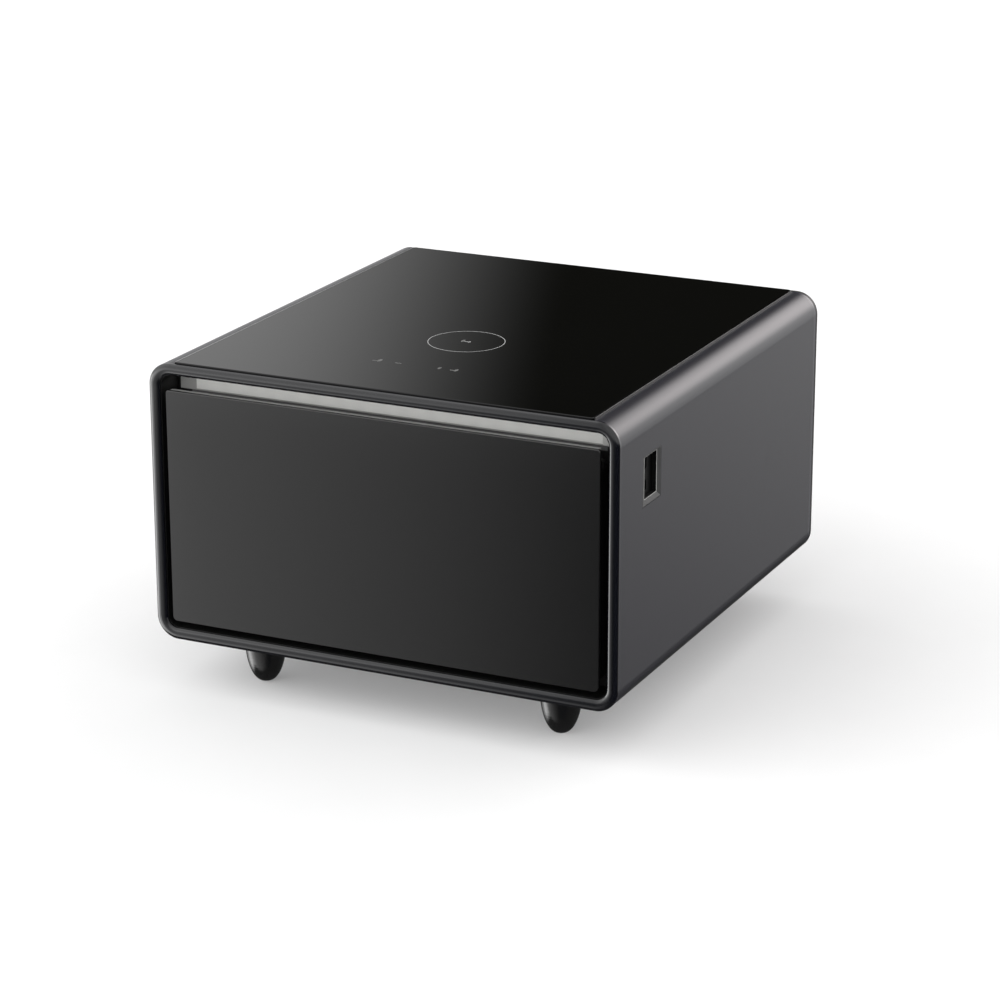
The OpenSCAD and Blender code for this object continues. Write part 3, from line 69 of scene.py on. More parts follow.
class Board:
    # One node tree. add() makes any node; the other methods are short forms of it.
    def __init__(self, tree):
        self.tree = tree
        self.tree.nodes.clear()

    def add(self, kind, settings=None, inputs=None, output=0):
        node = self.tree.nodes.new(kind)
        for name, value in (settings or {}).items():
            if name == "stops":
                self.setStops(node.color_ramp, value)
            else:
                setattr(node, name, value)
        for key, value in (inputs or {}).items():
            if isinstance(value, Signal):
                self.tree.links.new(value.socket, node.inputs[key])
            else:
                node.inputs[key].default_value = value
        return Signal(self, node.outputs[output]) if len(node.outputs) else node

    def setStops(self, ramp, stops):
        while len(ramp.elements) < len(stops):
            ramp.elements.new(1.0)
        for element, (place, level) in zip(ramp.elements, stops):
            element.position = place
            element.color = grey(level)

    def maths(self, operation, *values):
        return self.add("ShaderNodeMath", {"operation": operation}, dict(enumerate(values)))

    def join(self, x=0.0, y=0.0, z=0.0):
        return self.add("ShaderNodeCombineXYZ", inputs={"X": x, "Y": y, "Z": z})

    def split(self, vector, axis):
        return self.add("ShaderNodeSeparateXYZ", inputs={0: vector}, output=axis)

    def place(self):
        return self.add("ShaderNodeTexCoord", output="Object")

    def stretched(self, scale):
        return self.add("ShaderNodeMapping", inputs={"Vector": self.place(), "Scale": scale})

    def noise(self, scale, detail=2.0, rough=0.5, stretch=None):
        vector = self.stretched(stretch) if stretch else self.place()
        inputs = {"Vector": vector, "Scale": scale, "Detail": detail, "Roughness": rough}
        return self.add("ShaderNodeTexNoise", {"noise_dimensions": "3D"}, inputs)

    def cells(self, scale, output="Distance", stretch=None):
        vector = self.stretched(stretch) if stretch else self.place()
        inputs = {"Vector": vector, "Scale": scale}
        return self.add("ShaderNodeTexVoronoi", {"feature": "F1"}, inputs, output)

    def fade(self, value, low, high, start=0.0, end=1.0):
        inputs = {"Value": value, "From Min": low, "From Max": high, "To Min": start, "To Max": end}
        return self.add("ShaderNodeMapRange", {"interpolation_type": "SMOOTHSTEP"}, inputs)

    def step(self, value, edge, soft):
        return self.fade(value, edge - soft, edge + soft)

    def within(self, value, reach, soft):
        return self.fade(self.maths("ABSOLUTE", value), reach, reach + soft, 1.0, 0.0)

    def mix(self, share, first, second):
        return self.add("ShaderNodeMix", {"data_type": "RGBA"}, {0: share, 6: first, 7: second}, output=2)

    def shades(self, share, setup):
        # Between the two ends of the setup's spread, given as shares of its own shade
        low, high = setup["spread"]
        tint = setup.get("tint", white)
        return self.mix(share, grey(setup["shade"] * low, tint), grey(setup["shade"] * high, tint))

    def bump(self, height, depth, under=None):
        # The depth is in millimetres; under is a bump that this one lies on
        inputs = {"Height": height, "Distance": depth * millimetre, "Strength": 1.0}
        if under:
            inputs["Normal"] = under
        return self.add("ShaderNodeBump", inputs=inputs)


def grey(level, tint=white):
    return (level * tint[0], level * tint[1], level * tint[2], 1.0)


def newFinish(name):
    material = bpy.data.materials.new(name)
    material.use_nodes = True
    return material, Board(material.node_tree)


def closeFinish(board, base, rough, normal=None, more=None):
    inputs = {"Base Color": base, "Roughness": rough, **(more or {})}
    if normal:
        inputs["Normal"] = normal
    shader = board.add("ShaderNodeBsdfPrincipled", inputs=inputs)
    board.add("ShaderNodeOutputMaterial", inputs={"Surface": shader})


def stand(name, shape):
    holder = bpy.data.objects.new(name, shape)
    bpy.context.scene.collection.objects.link(holder)
    return holder


# Camera, fitted to the cabinet's edges in the picture

camera = {"place": (1.85133, -3.88944, 1.62621), "aim": (0.006838, 0.0, 0.209625),
          "lens": 117.962, "sensor": 36.0, "roll": -0.0773}


def makeCamera(setup):
    lens = bpy.data.cameras.new("studioCamera")
    lens.lens = setup["lens"]
    lens.sensor_width = setup["sensor"]
    holder = stand("studioCamera", lens)
    holder.location = setup["place"]
    gaze = Vector(setup["aim"]) - holder.location
    turn = gaze.to_track_quat("-Z", "Y") @ Quaternion((0.0, 0.0, 1.0), math.radians(setup["roll"]))
    holder.rotation_euler = turn.to_euler()
    bpy.context.scene.camera = holder


makeCamera(camera)
print("camera placed")

# A pale floor in a room of soft panels. Azimuth is from +Y towards +X and height is over the horizon, in
# degrees; soft and fade are the widths of a panel's edges. A panel's gloss is its level in reflections, as a
# share, and its lean is how far its sides lean for each degree of height over its leanFrom.

floor = {"halfSize": 40.0, "shade": 0.68, "cloud": 0.70, "cloudScale": 9.0, "glow": 0.18, "rough": 0.9, "gloss": 0.1}
room = {"low": 0.06, "high": 0.97, "from": -14.0, "to": 6.0}
dusk = (0.012, 0.012, 0.009)
navy = (0.011, 0.014, 0.024)
panels = [
    {"name": "back sweep", "level": 0.74,
     "azimuth": -62.0, "halfWidth": 30.0, "soft": 10.0, "height": 15.0, "halfHeight": 12.0, "fade": 10.0},
    {"name": "dark flag over the top", "level": 0.0, "tint": dusk, "lean": 0.2, "leanFrom": 15.0,
     "azimuth": -10.0, "halfWidth": 14.2, "soft": 7.2, "height": 18.0, "halfHeight": 12.0, "fade": 10.0},
    {"name": "right low panel", "level": 1.36,
     "azimuth": 24.0, "halfWidth": 16.0, "soft": 14.0, "height": 0.0, "halfHeight": 0.5, "fade": 28.0},
    {"name": "left front panel", "level": 1.2, "gloss": 0.65,
     "azimuth": -108.0, "halfWidth": 39.0, "soft": 12.0, "height": -14.0, "halfHeight": 16.0, "fade": 12.0},
    {"name": "dark side behind the camera", "level": 0.0, "tint": navy,
     "azimuth": 155.0, "halfWidth": 30.0, "soft": 12.0, "height": -26.0, "halfHeight": 20.0, "fade": 8.0},
    {"name": "front fill", "level": 2.72, "gloss": 0.5,
     "azimuth": -140.0, "halfWidth": 40.0, "soft": 20.0, "height": 25.0, "halfHeight": 26.0, "fade": 9.0},
    {"name": "right front fill", "level": 1.5, "gloss": 0.5,
     "azimuth": 140.0, "halfWidth": 24.0, "soft": 16.0, "height": 26.0, "halfHeight": 26.0, "fade": 8.0},
]


panelAngles = ("azimuth", "halfWidth", "soft", "height", "halfHeight", "fade")


def panelMask(board, azimuth, height, panel):
    angles = {name: math.radians(panel[name]) for name in panelAngles}
    turn = azimuth - angles["azimuth"]
    if "lean" in panel:
        turn = turn + (height - math.radians(panel["leanFrom"])) * panel["lean"]
    sides = board.within(board.maths("WRAP", turn, math.pi, -math.pi), angles["halfWidth"], angles["soft"])
    return sides * board.within(height - angles["height"], angles["halfHeight"], angles["fade"])


def makeRoom():
    world = bpy.data.worlds.new("studioRoom")
    world.use_nodes = True
    bpy.context.scene.world = world
    board = Board(world.node_tree)
    way = board.add("ShaderNodeTexCoord", output="Generated")
    azimuth = board.maths("ARCTAN2", board.split(way, 0), board.split(way, 1))
    height = board.maths("ARCSINE", board.split(way, 2))
    rise = board.fade(height, math.radians(room["from"]), math.radians(room["to"]))
    light = board.mix(rise, grey(room["low"]), grey(room["high"]))
    inGloss = board.add("ShaderNodeLightPath", output="Is Glossy Ray")
    for panel in panels:
        shade = [panel["level"] + extra for extra in panel.get("tint", (0.0, 0.0, 0.0))] + [1.0]
        if "gloss" in panel:
            shade = board.mix(inGloss, shade, grey(panel["level"] * panel["gloss"]))
        light = board.mix(panelMask(board, azimuth, height, panel), light, shade)
    glow = board.add("ShaderNodeBackground", inputs={"Color": light, "Strength": 1.0})
    board.add("ShaderNodeOutputWorld", inputs={"Surface": glow})


def makeFloor():
    half = floor["halfSize"]
    shape = bpy.data.meshes.new("studioFloor")
    shape.from_pydata([(-half, -half, 0), (half, -half, 0), (half, half, 0), (-half, half, 0)], [], [(0, 1, 2, 3)])
    sheet = stand("studioFloor", shape)
    material, board = newFinish("paleFloor")
    base = board.mix(board.noise(floor["cloudScale"], detail=3.0), grey(floor["shade"]), grey(floor["cloud"]))
    glow = {"Emission Color": grey(1.0), "Emission Strength": floor["glow"], "Specular IOR Level": floor["gloss"]}
    closeFinish(board, base, floor["rough"], more=glow)
    shape.materials.append(material)
    sheet.visible_glossy = False


# Two far lamps with soft edges, each linked away from the flat gloss faces that would only mirror it

farLamps = [
    {"name": "rearSoftbox", "light": (4.2, 4.0, 4.0, 1.0), "keepOff": ("glass_top",),
     "azimuth": 16.5, "halfWidth": 8.0, "soft": 20.0, "height": 17.5, "halfHeight": 3.5, "fade": 14.0,
     "from": (-5.0, 18.0), "to": (20.0, 18.0), "low": -1.0, "high": 20.0},
    {"name": "leftStrip", "light": (3.6, 3.6, 3.6, 1.0), "keepOff": ("glass_top", "drawer_panel"),
     "azimuth": -110.0, "halfWidth": 10.0, "soft": 25.0, "height": -19.0, "halfHeight": 14.0, "fade": 12.0,
     "from": (-18.0, -32.0), "to": (-18.0, 6.0), "low": -36.0, "high": 6.0},
]


def uprightSheet(name, setup):
    (x1, y1), (x2, y2), low, high = setup["from"], setup["to"], setup["low"], setup["high"]
    shape = bpy.data.meshes.new(name)
    shape.from_pydata([(x1, y1, low), (x2, y2, low), (x2, y2, high), (x1, y1, high)], [], [(0, 1, 2, 3)])
    return stand(name, shape)


def closeGlow(board, share, colour, strength):
    # Light where the share is 1, and nothing at all where it is 0
    clear = board.add("ShaderNodeBsdfTransparent")
    glow = board.add("ShaderNodeEmission", inputs={"Color": colour, "Strength": strength})
    surface = board.add("ShaderNodeMixShader", inputs={0: share, 1: clear, 2: glow})
    board.add("ShaderNodeOutputMaterial", inputs={"Surface": surface})


def makeLamp(setup):
    sheet = uprightSheet(setup["name"], setup)
    material, board = newFinish(setup["name"])
    spot = board.place()
    side, away, up = (board.split(spot, axis) for axis in range(3))
    azimuth = board.maths("ARCTAN2", side, away)
    height = board.maths("ARCTAN2", up, board.maths("SQRT", side * side + away * away))
    closeGlow(board, panelMask(board, azimuth, height, setup), setup["light"], 1.0)
    sheet.data.materials.append(material)
    sheet.visible_camera = False
    keptOff = bpy.data.collections.new(setup["name"] + "KeepOff")
    for name in setup["keepOff"]:
        keptOff.objects.link(nodes[name])
    for entry in keptOff.collection_objects:
        entry.light_linking.link_state = "EXCLUDE"
    sheet.light_linking.receiver_collection = keptOff


# A card near the left front corner, seen only in gloss, gives the front its slow change from left to right.
# Its stops are (x, level), and its pairs are where a change starts and ends: across in shares of its width,
# the others in metres of height.

card = {"from": (-4.0, -1.056), "to": (1.0, -1.056), "low": -1.3, "high": 1.8, "peak": 1.9,
        "stops": [(-4.0, 1.0), (-1.5, 1.0), (-1.3, 0.98), (-1.1, 0.82), (-0.9, 0.52), (-0.7, 0.33), (-0.5, 0.255),
                  (-0.33, 0.185), (-0.16, 0.11), (-0.01, 0.045), (0.3, 0.005)],
        "dimming": (0.35, 0.75), "dimmed": 0.25,
        "lift": 0.75, "liftRise": (0.15, 0.42), "liftAcross": (0.7, 0.95),
        "lowLift": 0.3, "lowRise": (-0.5, -0.24),
        "lowEdge": (-1.3, -0.9), "highEdge": (1.1, 1.75), "leftEdge": (0.36, 0.5), "rightEdge": (0.81, 0.94)}


def makeCard():
    sheet = uprightSheet("glossCard", card)
    material, board = newFinish("glossCard")
    left = card["from"][0]
    width = card["to"][0] - left
    across = (board.split(board.place(), 0) - left) / width
    height = board.split(board.place(), 2)
    stops = [((x - left) / width, level) for x, level in card["stops"]]
    ramp = board.add("ShaderNodeValToRGB", {"stops": stops}, {0: across})
    ramp = ramp * board.fade(height, *card["dimming"], 1.0, card["dimmed"])
    lift = board.fade(height, *card["liftRise"], 0.0, card["lift"])
    lift = lift + board.fade(height, *card["lowRise"], card["lowLift"], 0.0)
    lift = lift * board.fade(across, *card["liftAcross"], 1.0, 0.0)
    solid = board.fade(height, *card["lowEdge"]) * board.fade(height, *card["highEdge"], 1.0, 0.0)
    solid = solid * board.fade(across, *card["leftEdge"]) * board.fade(across, *card["rightEdge"], 1.0, 0.0)
    closeGlow(board, solid, grey(1.0), ramp * card["peak"] + lift)
    sheet.data.materials.append(material)
    for way in ("camera", "diffuse", "shadow", "transmission", "volume_scatter"):
        setattr(sheet, "visible_" + way, False)


bpy.context.scene.view_settings.view_transform = "Standard"
makeRoom()
makeFloor()
for lamp in farLamps:
    makeLamp(lamp)
makeCard()
print("room and floor made")

# Finishes of the CAD nodes, one for each material slot of the record. Shades are linear. A spread gives the
# darkest and lightest places as shares of the shade, a grain is the depth of the relief in millimetres, and
# names that end in Rough say how far a pattern moves the roughness.

coat = {"spread": (0.9, 1.12), "cloud": 3.5, "grain": 2600.0, "peel": 420.0,
        "cloudRough": 0.05, "grainRough": 0.06, "grainShare": 0.35,
        "fleck": 900.0, "fleckEdge": (0.02, 0.12), "fleckShare": 0.25, "fleckShade": 2.4}
paints = {
    "wrap_paint": {"shade": 0.019, "tint": (1.0, 0.98, 1.25), "spread": (0.92, 1.08), "rough": 0.29, "grain": 0.014},
    "ring_paint": {"shade": 0.003, "tint": (1.0, 1.05, 1.5), "rough": 0.13, "grain": 0.003, "gloss": 1.0},
    "panel_face": {"shade": 0.0035, "rough": 0.18, "grain": 0.005, "gloss": 1.0},
    "cover_paint": {"shade": 0.020, "tint": (1.0, 1.0, 1.03), "rough": 0.45, "grain": 0.030},
    "compressor_paint": {"shade": 0.012, "rough": 0.28, "grain": 0.020},
}


def coatLayers(board, setup):
    # Orange peel, a fine grain over it, and a faint change of shade and gloss across the sheet
    cloud = board.noise(coat["cloud"], detail=3.0)
    grain = board.noise(coat["grain"])
    peeled = board.bump(board.noise(coat["peel"]), setup["grain"])
    rough = setup["rough"] + (cloud - 0.5) * coat["cloudRough"] + (grain - 0.5) * coat["grainRough"]
    return cloud, rough, board.bump(grain, setup["grain"] * coat["grainShare"], peeled)


def powderCoat(name, setup):
    material, board = newFinish(name)
    cloud, rough, normal = coatLayers(board, setup)
    fleck = board.fade(board.cells(coat["fleck"]), *coat["fleckEdge"], 1.0, 0.0)
    base = board.shades(cloud, {"spread": coat["spread"], **setup})
    pale = grey(setup["shade"] * coat["fleckShade"], setup.get("tint", white))
    base = board.mix(fleck * coat["fleckShare"], base, pale)
    closeFinish(board, base, rough, normal, {"Specular IOR Level": setup.get("gloss", 0.5)})
    return material


# Where the wrap's painted highlight lines lie, their colour, the noise that breaks them up and how much glossier they
# are
sleeve = {"frontEdge": -0.3462, "lightLine": (0.3420, 0.3452), "darkEdge": 0.3466, "soft": 0.0004,
          "lineShade": 0.05, "edgeShade": 0.002, "rub": 60.0, "rubLeast": 0.6, "rubMore": 0.5,
          "edgeRough": 0.2, "wearRough": -0.08}


def makeSleeve(name):
    # The wrap's coat, with a painted highlight line along the front edge and another near the back, and dark on the
    # turned back edge
    material, board = newFinish(name)
    setup = paints["wrap_paint"]
    cloud, rough, normal = coatLayers(board, setup)
    y = board.split(board.place(), 1)
    soft = sleeve["soft"]
    rearLineStart, rearLineEnd = sleeve["lightLine"]
    # Painted highlights: pale lines along the front edge and near the back edge, standing in for light caught at the
    # edges
    frontHighlight = 1.0 - board.step(y, sleeve["frontEdge"], soft)
    rearHighlight = board.step(y, rearLineStart, soft) * (1.0 - board.step(y, rearLineEnd, soft))
    darkEdge = board.step(y, sleeve["darkEdge"], soft)
    highlightBreakup = board.noise(sleeve["rub"], detail=4.0, rough=0.6) * sleeve["rubMore"] + sleeve["rubLeast"]
    paintedHighlight = (frontHighlight + rearHighlight) * highlightBreakup
    base = board.mix(paintedHighlight, board.shades(cloud, setup), grey(sleeve["lineShade"], setup["tint"]))
    base = board.mix(darkEdge, base, grey(sleeve["edgeShade"]))
    closeFinish(board, base, rough + darkEdge * sleeve["edgeRough"] + paintedHighlight * sleeve["wearRough"], normal)
    return material


moulding = {"flow": 7.0, "flowStretch": (1.0, 0.35, 1.0), "grain": 1500.0, "pores": 3400.0, "poreShare": 0.4,
            "flowRough": 0.08, "poreRough": 0.08, "spread": (0.93, 1.06)}
plastics = {
    "frame_plastic": {"shade": 0.004, "rough": 0.42, "grain": 0.012},
    "tray_plastic": {"shade": 0.015, "rough": 0.5, "grain": 0.03},
    "port_black": {"shade": 0.002, "rough": 0.5, "grain": 0.01, "gloss": 0.15},
    "fan_black": {"shade": 0.014, "rough": 0.45, "grain": 0.02},
    "fan_white": {"shade": 0.62, "tint": (1.0, 1.0, 0.99), "rough": 0.4, "grain": 0.02},
    "door_plastic": {"shade": 0.006, "rough": 0.45, "grain": 0.02},
    "liner": {"shade": 0.74, "tint": (0.99, 1.0, 1.01), "rough": 0.28, "grain": 0.006},
    "drawer_plastic": {"shade": 0.7, "tint": (0.97, 0.99, 1.02), "rough": 0.3, "grain": 0.008},
    "light_caps": {"shade": 0.42, "tint": (1.0, 1.0, 0.97), "rough": 0.4, "grain": 0.01},
    "rail_plastic": {"shade": 0.26, "tint": (1.0, 1.0, 0.98), "rough": 0.42, "grain": 0.01},
    "rubber": {"shade": 0.012, "rough": 0.7, "grain": 0.04},
    "seal_rubber": {"shade": 0.035, "tint": (1.0, 1.0, 1.03), "rough": 0.55, "grain": 0.02},
}


def flowMarks(board):
    return board.noise(moulding["flow"], detail=3.0, stretch=moulding["flowStretch"])


def mouldedPlastic(name, setup):
    # Spark-eroded grain with small pores, and flow marks that run along the moulding
    material, board = newFinish(name)
    flow = flowMarks(board)
    grain = board.cells(moulding["grain"])
    pores = board.noise(moulding["pores"], detail=1.0)
    base = board.shades(flow, {**setup, "spread": moulding["spread"]})
    rough = setup["rough"] + (flow - 0.5) * moulding["flowRough"] + (pores - 0.5) * moulding["poreRough"]
    normal = board.bump(grain + pores * moulding["poreShare"], setup["grain"])
    closeFinish(board, base, rough, normal, {"Specular IOR Level": setup.get("gloss", 0.5)})
    return material


portFrame = {"shade": 0.045, "spread": (0.85, 1.2), "inside": 0.001, "mouth": (0.33355, 0.33385), "flow": 60.0,
             "rough": 0.45, "insideRough": 0.4, "flowRough": 0.1, "gloss": 0.3, "grain": 0.008}


def makePortFrame(name):
    # Same grey as the wrap on the sloping mouth, black in the shaft behind it
    material, board = newFinish(name)
    deep = board.fade(board.split(board.place(), 0), *portFrame["mouth"], 1.0, 0.0)
    flow = board.noise(portFrame["flow"], detail=3.0)
    base = board.mix(deep, board.shades(flow, portFrame), grey(portFrame["inside"]))
    rough = portFrame["rough"] + deep * portFrame["insideRough"] + (flow - 0.5) * portFrame["flowRough"]
    normal = board.bump(board.cells(moulding["grain"]), portFrame["grain"])
    closeFinish(board, base, rough, normal, {"Specular IOR Level": portFrame["gloss"]})
    return material


drawn = {"patch": 90.0, "dull": 18.0, "spread": (0.82, 1.05), "lineRough": 0.22, "patchRough": 0.06, "grain": 0.006}
metals = {
    "bright_trim": {"shade": 0.72, "tint": (1.0, 1.0, 1.01), "rough": 0.24, "brush": (2400.0, 14.0, 2400.0)},
    "zinc_steel": {"shade": 0.56, "tint": (0.99, 1.0, 1.02), "rough": 0.34, "brush": (60.0, 60.0, 60.0)},
    "bolt_steel": {"shade": 0.55, "rough": 0.3, "brush": (300.0, 300.0, 300.0)},
    "fin_metal": {"shade": 0.7, "tint": (1.0, 1.0, 1.01), "rough": 0.3, "brush": (400.0, 400.0, 12.0)},
    "copper": {"shade": 0.72, "tint": (1.0, 0.5, 0.3), "rough": 0.26, "brush": (200.0, 200.0, 200.0)},
}


def drawLines(board, brush):
    return board.noise(1.0, detail=3.0, rough=0.6, stretch=brush)


def drawnMetal(name, setup):
    # Draw lines along the metal, with patches where the plating is duller
    material, board = newFinish(name)
    lines = drawLines(board, setup["brush"])
    patch = board.split(board.cells(drawn["patch"], "Color"), 0)
    base = board.shades(board.noise(drawn["dull"], detail=4.0), {**setup, "spread": drawn["spread"]})
    rough = setup["rough"] + (lines - 0.5) * drawn["lineRough"] + (patch - 0.5) * drawn["patchRough"]
    closeFinish(board, base, rough, board.bump(lines, drawn["grain"]), {"Metallic": 1.0})
    return material


edgeStrip = {"bright": 0.62, "dark": 0.012, "cut": (0.45915, 0.45945), "brush": (2600.0, 30.0, 2600.0),
             "rough": 0.26, "lineRough": 0.2, "sideRough": 0.1, "grain": 0.005}


def makeEdgeStrip(name):
    # Anodised strip: its top is cut bright, its sides are left black
    material, board = newFinish(name)
    cut = board.fade(board.split(board.place(), 2), *edgeStrip["cut"])
    lines = drawLines(board, edgeStrip["brush"])
    base = board.mix(cut, grey(edgeStrip["dark"]), grey(edgeStrip["bright"]))
    rough = edgeStrip["rough"] + (lines - 0.5) * edgeStrip["lineRough"] + (1.0 - cut) * edgeStrip["sideRough"]
    closeFinish(board, base, rough, board.bump(lines, edgeStrip["grain"]), {"Metallic": cut})
    return material


blackGlass = {"shade": 0.0018, "tint": (1.0, 1.0, 1.04), "spread": (0.8, 1.3), "film": 5.0,
              "filmStretch": (1.0, 0.4, 1.0), "wipe": (160.0, 9.0, 160.0), "rough": 0.035, "filmRough": 0.02,
              "wipeRough": 0.008, "grain": 0.004, "index": 1.5}


def makeBlackGlass(name):
    # Polished face with the faint film that a cloth leaves
    material, board = newFinish(name)
    film = board.noise(blackGlass["film"], detail=5.0, rough=0.6, stretch=blackGlass["filmStretch"])
    wipe = board.noise(1.0, detail=3.0, stretch=blackGlass["wipe"])
    rough = blackGlass["rough"] + film * blackGlass["filmRough"] + (wipe - 0.5) * blackGlass["wipeRough"]
    normal = board.bump(film, blackGlass["grain"])
    closeFinish(board, board.shades(film, blackGlass), rough, normal, {"IOR": blackGlass["index"]})
    return material


footGloss = {"shade": 0.006, "dustShade": 0.05, "dustShare": 0.3, "wave": 40.0, "waveStretch": (1.0, 1.0, 3.0),
             "dust": 1800.0, "dustEdge": (0.66, 0.8), "rough": 0.12, "waveRough": 0.05, "dustRough": 0.1,
             "coat": 0.4, "coatRough": 0.08, "grain": 0.02}


def makeFootGloss(name):
    # Lacquer over a turned leg: slight waves round it under a clear coat
    material, board = newFinish(name)
    wave = board.noise(footGloss["wave"], stretch=footGloss["waveStretch"])
    dust = board.fade(board.noise(footGloss["dust"], detail=1.0), *footGloss["dustEdge"])
    base = board.mix(dust * footGloss["dustShare"], grey(footGloss["shade"]), grey(footGloss["dustShade"]))
    rough = footGloss["rough"] + wave * footGloss["waveRough"] + dust * footGloss["dustRough"]
    lacquer = {"Coat Weight": footGloss["coat"], "Coat Roughness": footGloss["coatRough"]}
    closeFinish(board, base, rough, board.bump(wave, footGloss["grain"]), lacquer)
    return material


lightCover = {"shade": 0.62, "tint": (1.0, 1.0, 0.965), "spread": (0.95, 1.04), "frost": 900.0, "rough": 0.5,
              "frostRough": 0.12, "grain": 0.01, "glow": 0.14, "lampPitch": 33.0, "lampShare": 0.06}


def makeLightCover(name):
    # Milky diffuser: a faint glow, a little stronger over each lamp of the strip behind it
    material, board = newFinish(name)
    along = board.split(board.place(), 0) * (math.tau / (lightCover["lampPitch"] * millimetre))
    spot = board.maths("COSINE", along) * lightCover["lampShare"] + (1.0 - lightCover["lampShare"])
    frost = board.noise(lightCover["frost"])
    colour = board.mix(spot, grey(0.0), grey(1.0, lightCover["tint"]))
    lit = {"Emission Color": colour, "Emission Strength": lightCover["glow"]}
    rough = lightCover["rough"] + (frost - 0.5) * lightCover["frostRough"]
    closeFinish(board, board.shades(frost, lightCover), rough, board.bump(frost, lightCover["grain"]), lit)
    return material


foam = {"shade": 0.68, "tint": (1.0, 0.91, 0.66), "spread": (0.78, 1.0), "skin": 14.0, "bubbles": 420.0,
        "bubbleShade": 0.6, "bubbleShare": 0.4, "bubbleEdge": (0.0, 0.5), "rough": 0.85, "skinRough": 0.1, "grain": 0.5}


def makeFoam(name):
    # Rigid foam: open cells and a skin that is darker in places
    material, board = newFinish(name)
    bubbles = board.cells(foam["bubbles"])
    skin = board.noise(foam["skin"], detail=4.0, rough=0.6)
    pits = board.fade(bubbles, *foam["bubbleEdge"], foam["bubbleShare"], 0.0)
    base = board.mix(pits, board.shades(skin, foam), grey(foam["shade"] * foam["bubbleShade"], foam["tint"]))
    closeFinish(board, base, foam["rough"] + (skin - 0.5) * foam["skinRough"], board.bump(bubbles, foam["grain"]))
    return material


circuit = {"mask": (0.012, 0.11, 0.05, 1.0), "track": (0.03, 0.2, 0.09, 1.0), "pad": (0.6, 0.55, 0.42, 1.0),
           "blocks": 160.0, "blockStretch": (1.0, 2.0, 1.0), "tracks": 420.0, "gapShare": 0.55, "pads": 260.0,
           "padEdge": (0.1, 0.16), "rough": 0.42, "padRough": -0.12, "padMetal": 0.8, "grain": 0.03}


def makeCircuit(name):
    # Green solder mask with copper tracks under it and tinned pads
    material, board = newFinish(name)
    blocks = board.split(board.cells(circuit["blocks"], "Color", circuit["blockStretch"]), 0)
    along = board.maths("FRACT", board.split(board.place(), 0) * circuit["tracks"] + blocks)
    tracks = board.maths("GREATER_THAN", along, circuit["gapShare"])
    pads = board.fade(board.cells(circuit["pads"]), *circuit["padEdge"], 1.0, 0.0)
    base = board.mix(pads, board.mix(tracks, circuit["mask"], circuit["track"]), circuit["pad"])
    rough = circuit["rough"] + pads * circuit["padRough"]
    normal = board.bump(tracks + pads, circuit["grain"])
    closeFinish(board, base, rough, normal, {"Metallic": pads * circuit["padMetal"]})
    return material


# The pale band under the light bar is painted light, as if the bar's glow fell on the moulding
sealFrame = {"shade": 0.004, "spread": (0.9, 1.1), "bandShade": 0.13, "bandFrom": 0.4052, "litBandSoft": 0.0003,
             "bandHalf": 0.299, "bandEnd": 0.001, "litBandLeast": 0.85, "bandMore": 0.2,
             "rough": 0.42, "flowRough": 0.08, "grain": 0.012}


def makeSealFrame(name):
    # Black moulding, with a pale band painted under the light bar: painted light from the bar's glow falling on it
    material, board = newFinish(name)
    x, z = (board.split(board.place(), axis) for axis in (0, 2))
    # Painted light: the moulding is made lighter just under the light bar
    band = board.step(z, sealFrame["bandFrom"], sealFrame["litBandSoft"])
    band = band * board.within(x, sealFrame["bandHalf"], sealFrame["bandEnd"])
    flow = flowMarks(board)
    band = band * (flow * sealFrame["bandMore"] + sealFrame["litBandLeast"])
    base = board.mix(band, board.shades(flow, sealFrame), grey(sealFrame["bandShade"]))
    rough = sealFrame["rough"] + (flow - 0.5) * sealFrame["flowRough"]
    closeFinish(board, base, rough, board.bump(board.cells(moulding["grain"]), sealFrame["grain"]))
    return material


barEnd = {"left": 0.42, "right": 0.64, "middle": 0.0, "soft": 0.01, "flow": 30.0, "flowShade": 0.3, "flowShare": 0.1,
          "rough": 0.4, "flowRough": 0.1, "grain": 0.01}


def makeBarEnd(name):
    # End caps of the light bar; the right one is painted lighter than the left, as painted light from the strip beside
    # it
    material, board = newFinish(name)
    right = board.step(board.split(board.place(), 0), barEnd["middle"], barEnd["soft"])
    flow = board.noise(barEnd["flow"], detail=3.0)
    # Painted light: the right cap gets a lighter colour than the left
    base = board.mix(right, grey(barEnd["left"], lightCover["tint"]), grey(barEnd["right"], lightCover["tint"]))
    base = board.mix(flow * barEnd["flowShare"], base, grey(barEnd["flowShade"]))
    rough = barEnd["rough"] + (flow - 0.5) * barEnd["flowRough"]
    closeFinish(board, base, rough, board.bump(board.cells(moulding["grain"]), barEnd["grain"]))
    return material


inks = {
    "brightInk": {"shade": 0.42, "tint": white},
    "dimInk": {"shade": 0.12, "tint": (1.0, 1.0, 0.99)},
}
ink = {"spread": (0.85, 1.1), "cover": 900.0, "rough": 0.5, "coverRough": 0.2, "grain": 0.004}


def firedInk(name, setup):
    # Fired ink on the glass, a little uneven in its cover
    material, board = newFinish(name)
    cover = board.noise(ink["cover"], detail=3.0, rough=0.6)
    rough = ink["rough"] + (cover - 0.5) * ink["coverRough"]
    closeFinish(board, board.shades(cover, {**setup, "spread": ink["spread"]}), rough, board.bump(cover, ink["grain"]))
    return material


families = [(powderCoat, paints), (mouldedPlastic, plastics), (drawnMetal, metals), (firedInk, inks)]
singles = {"sleeve": makeSleeve, "portFrame": makePortFrame, "barEnd": makeBarEnd, "sealFrame": makeSealFrame,
           "edgeStrip": makeEdgeStrip, "black_glass": makeBlackGlass, "foot_gloss": makeFootGloss,
           "light_cover": makeLightCover, "foam": makeFoam, "board": makeCircuit}

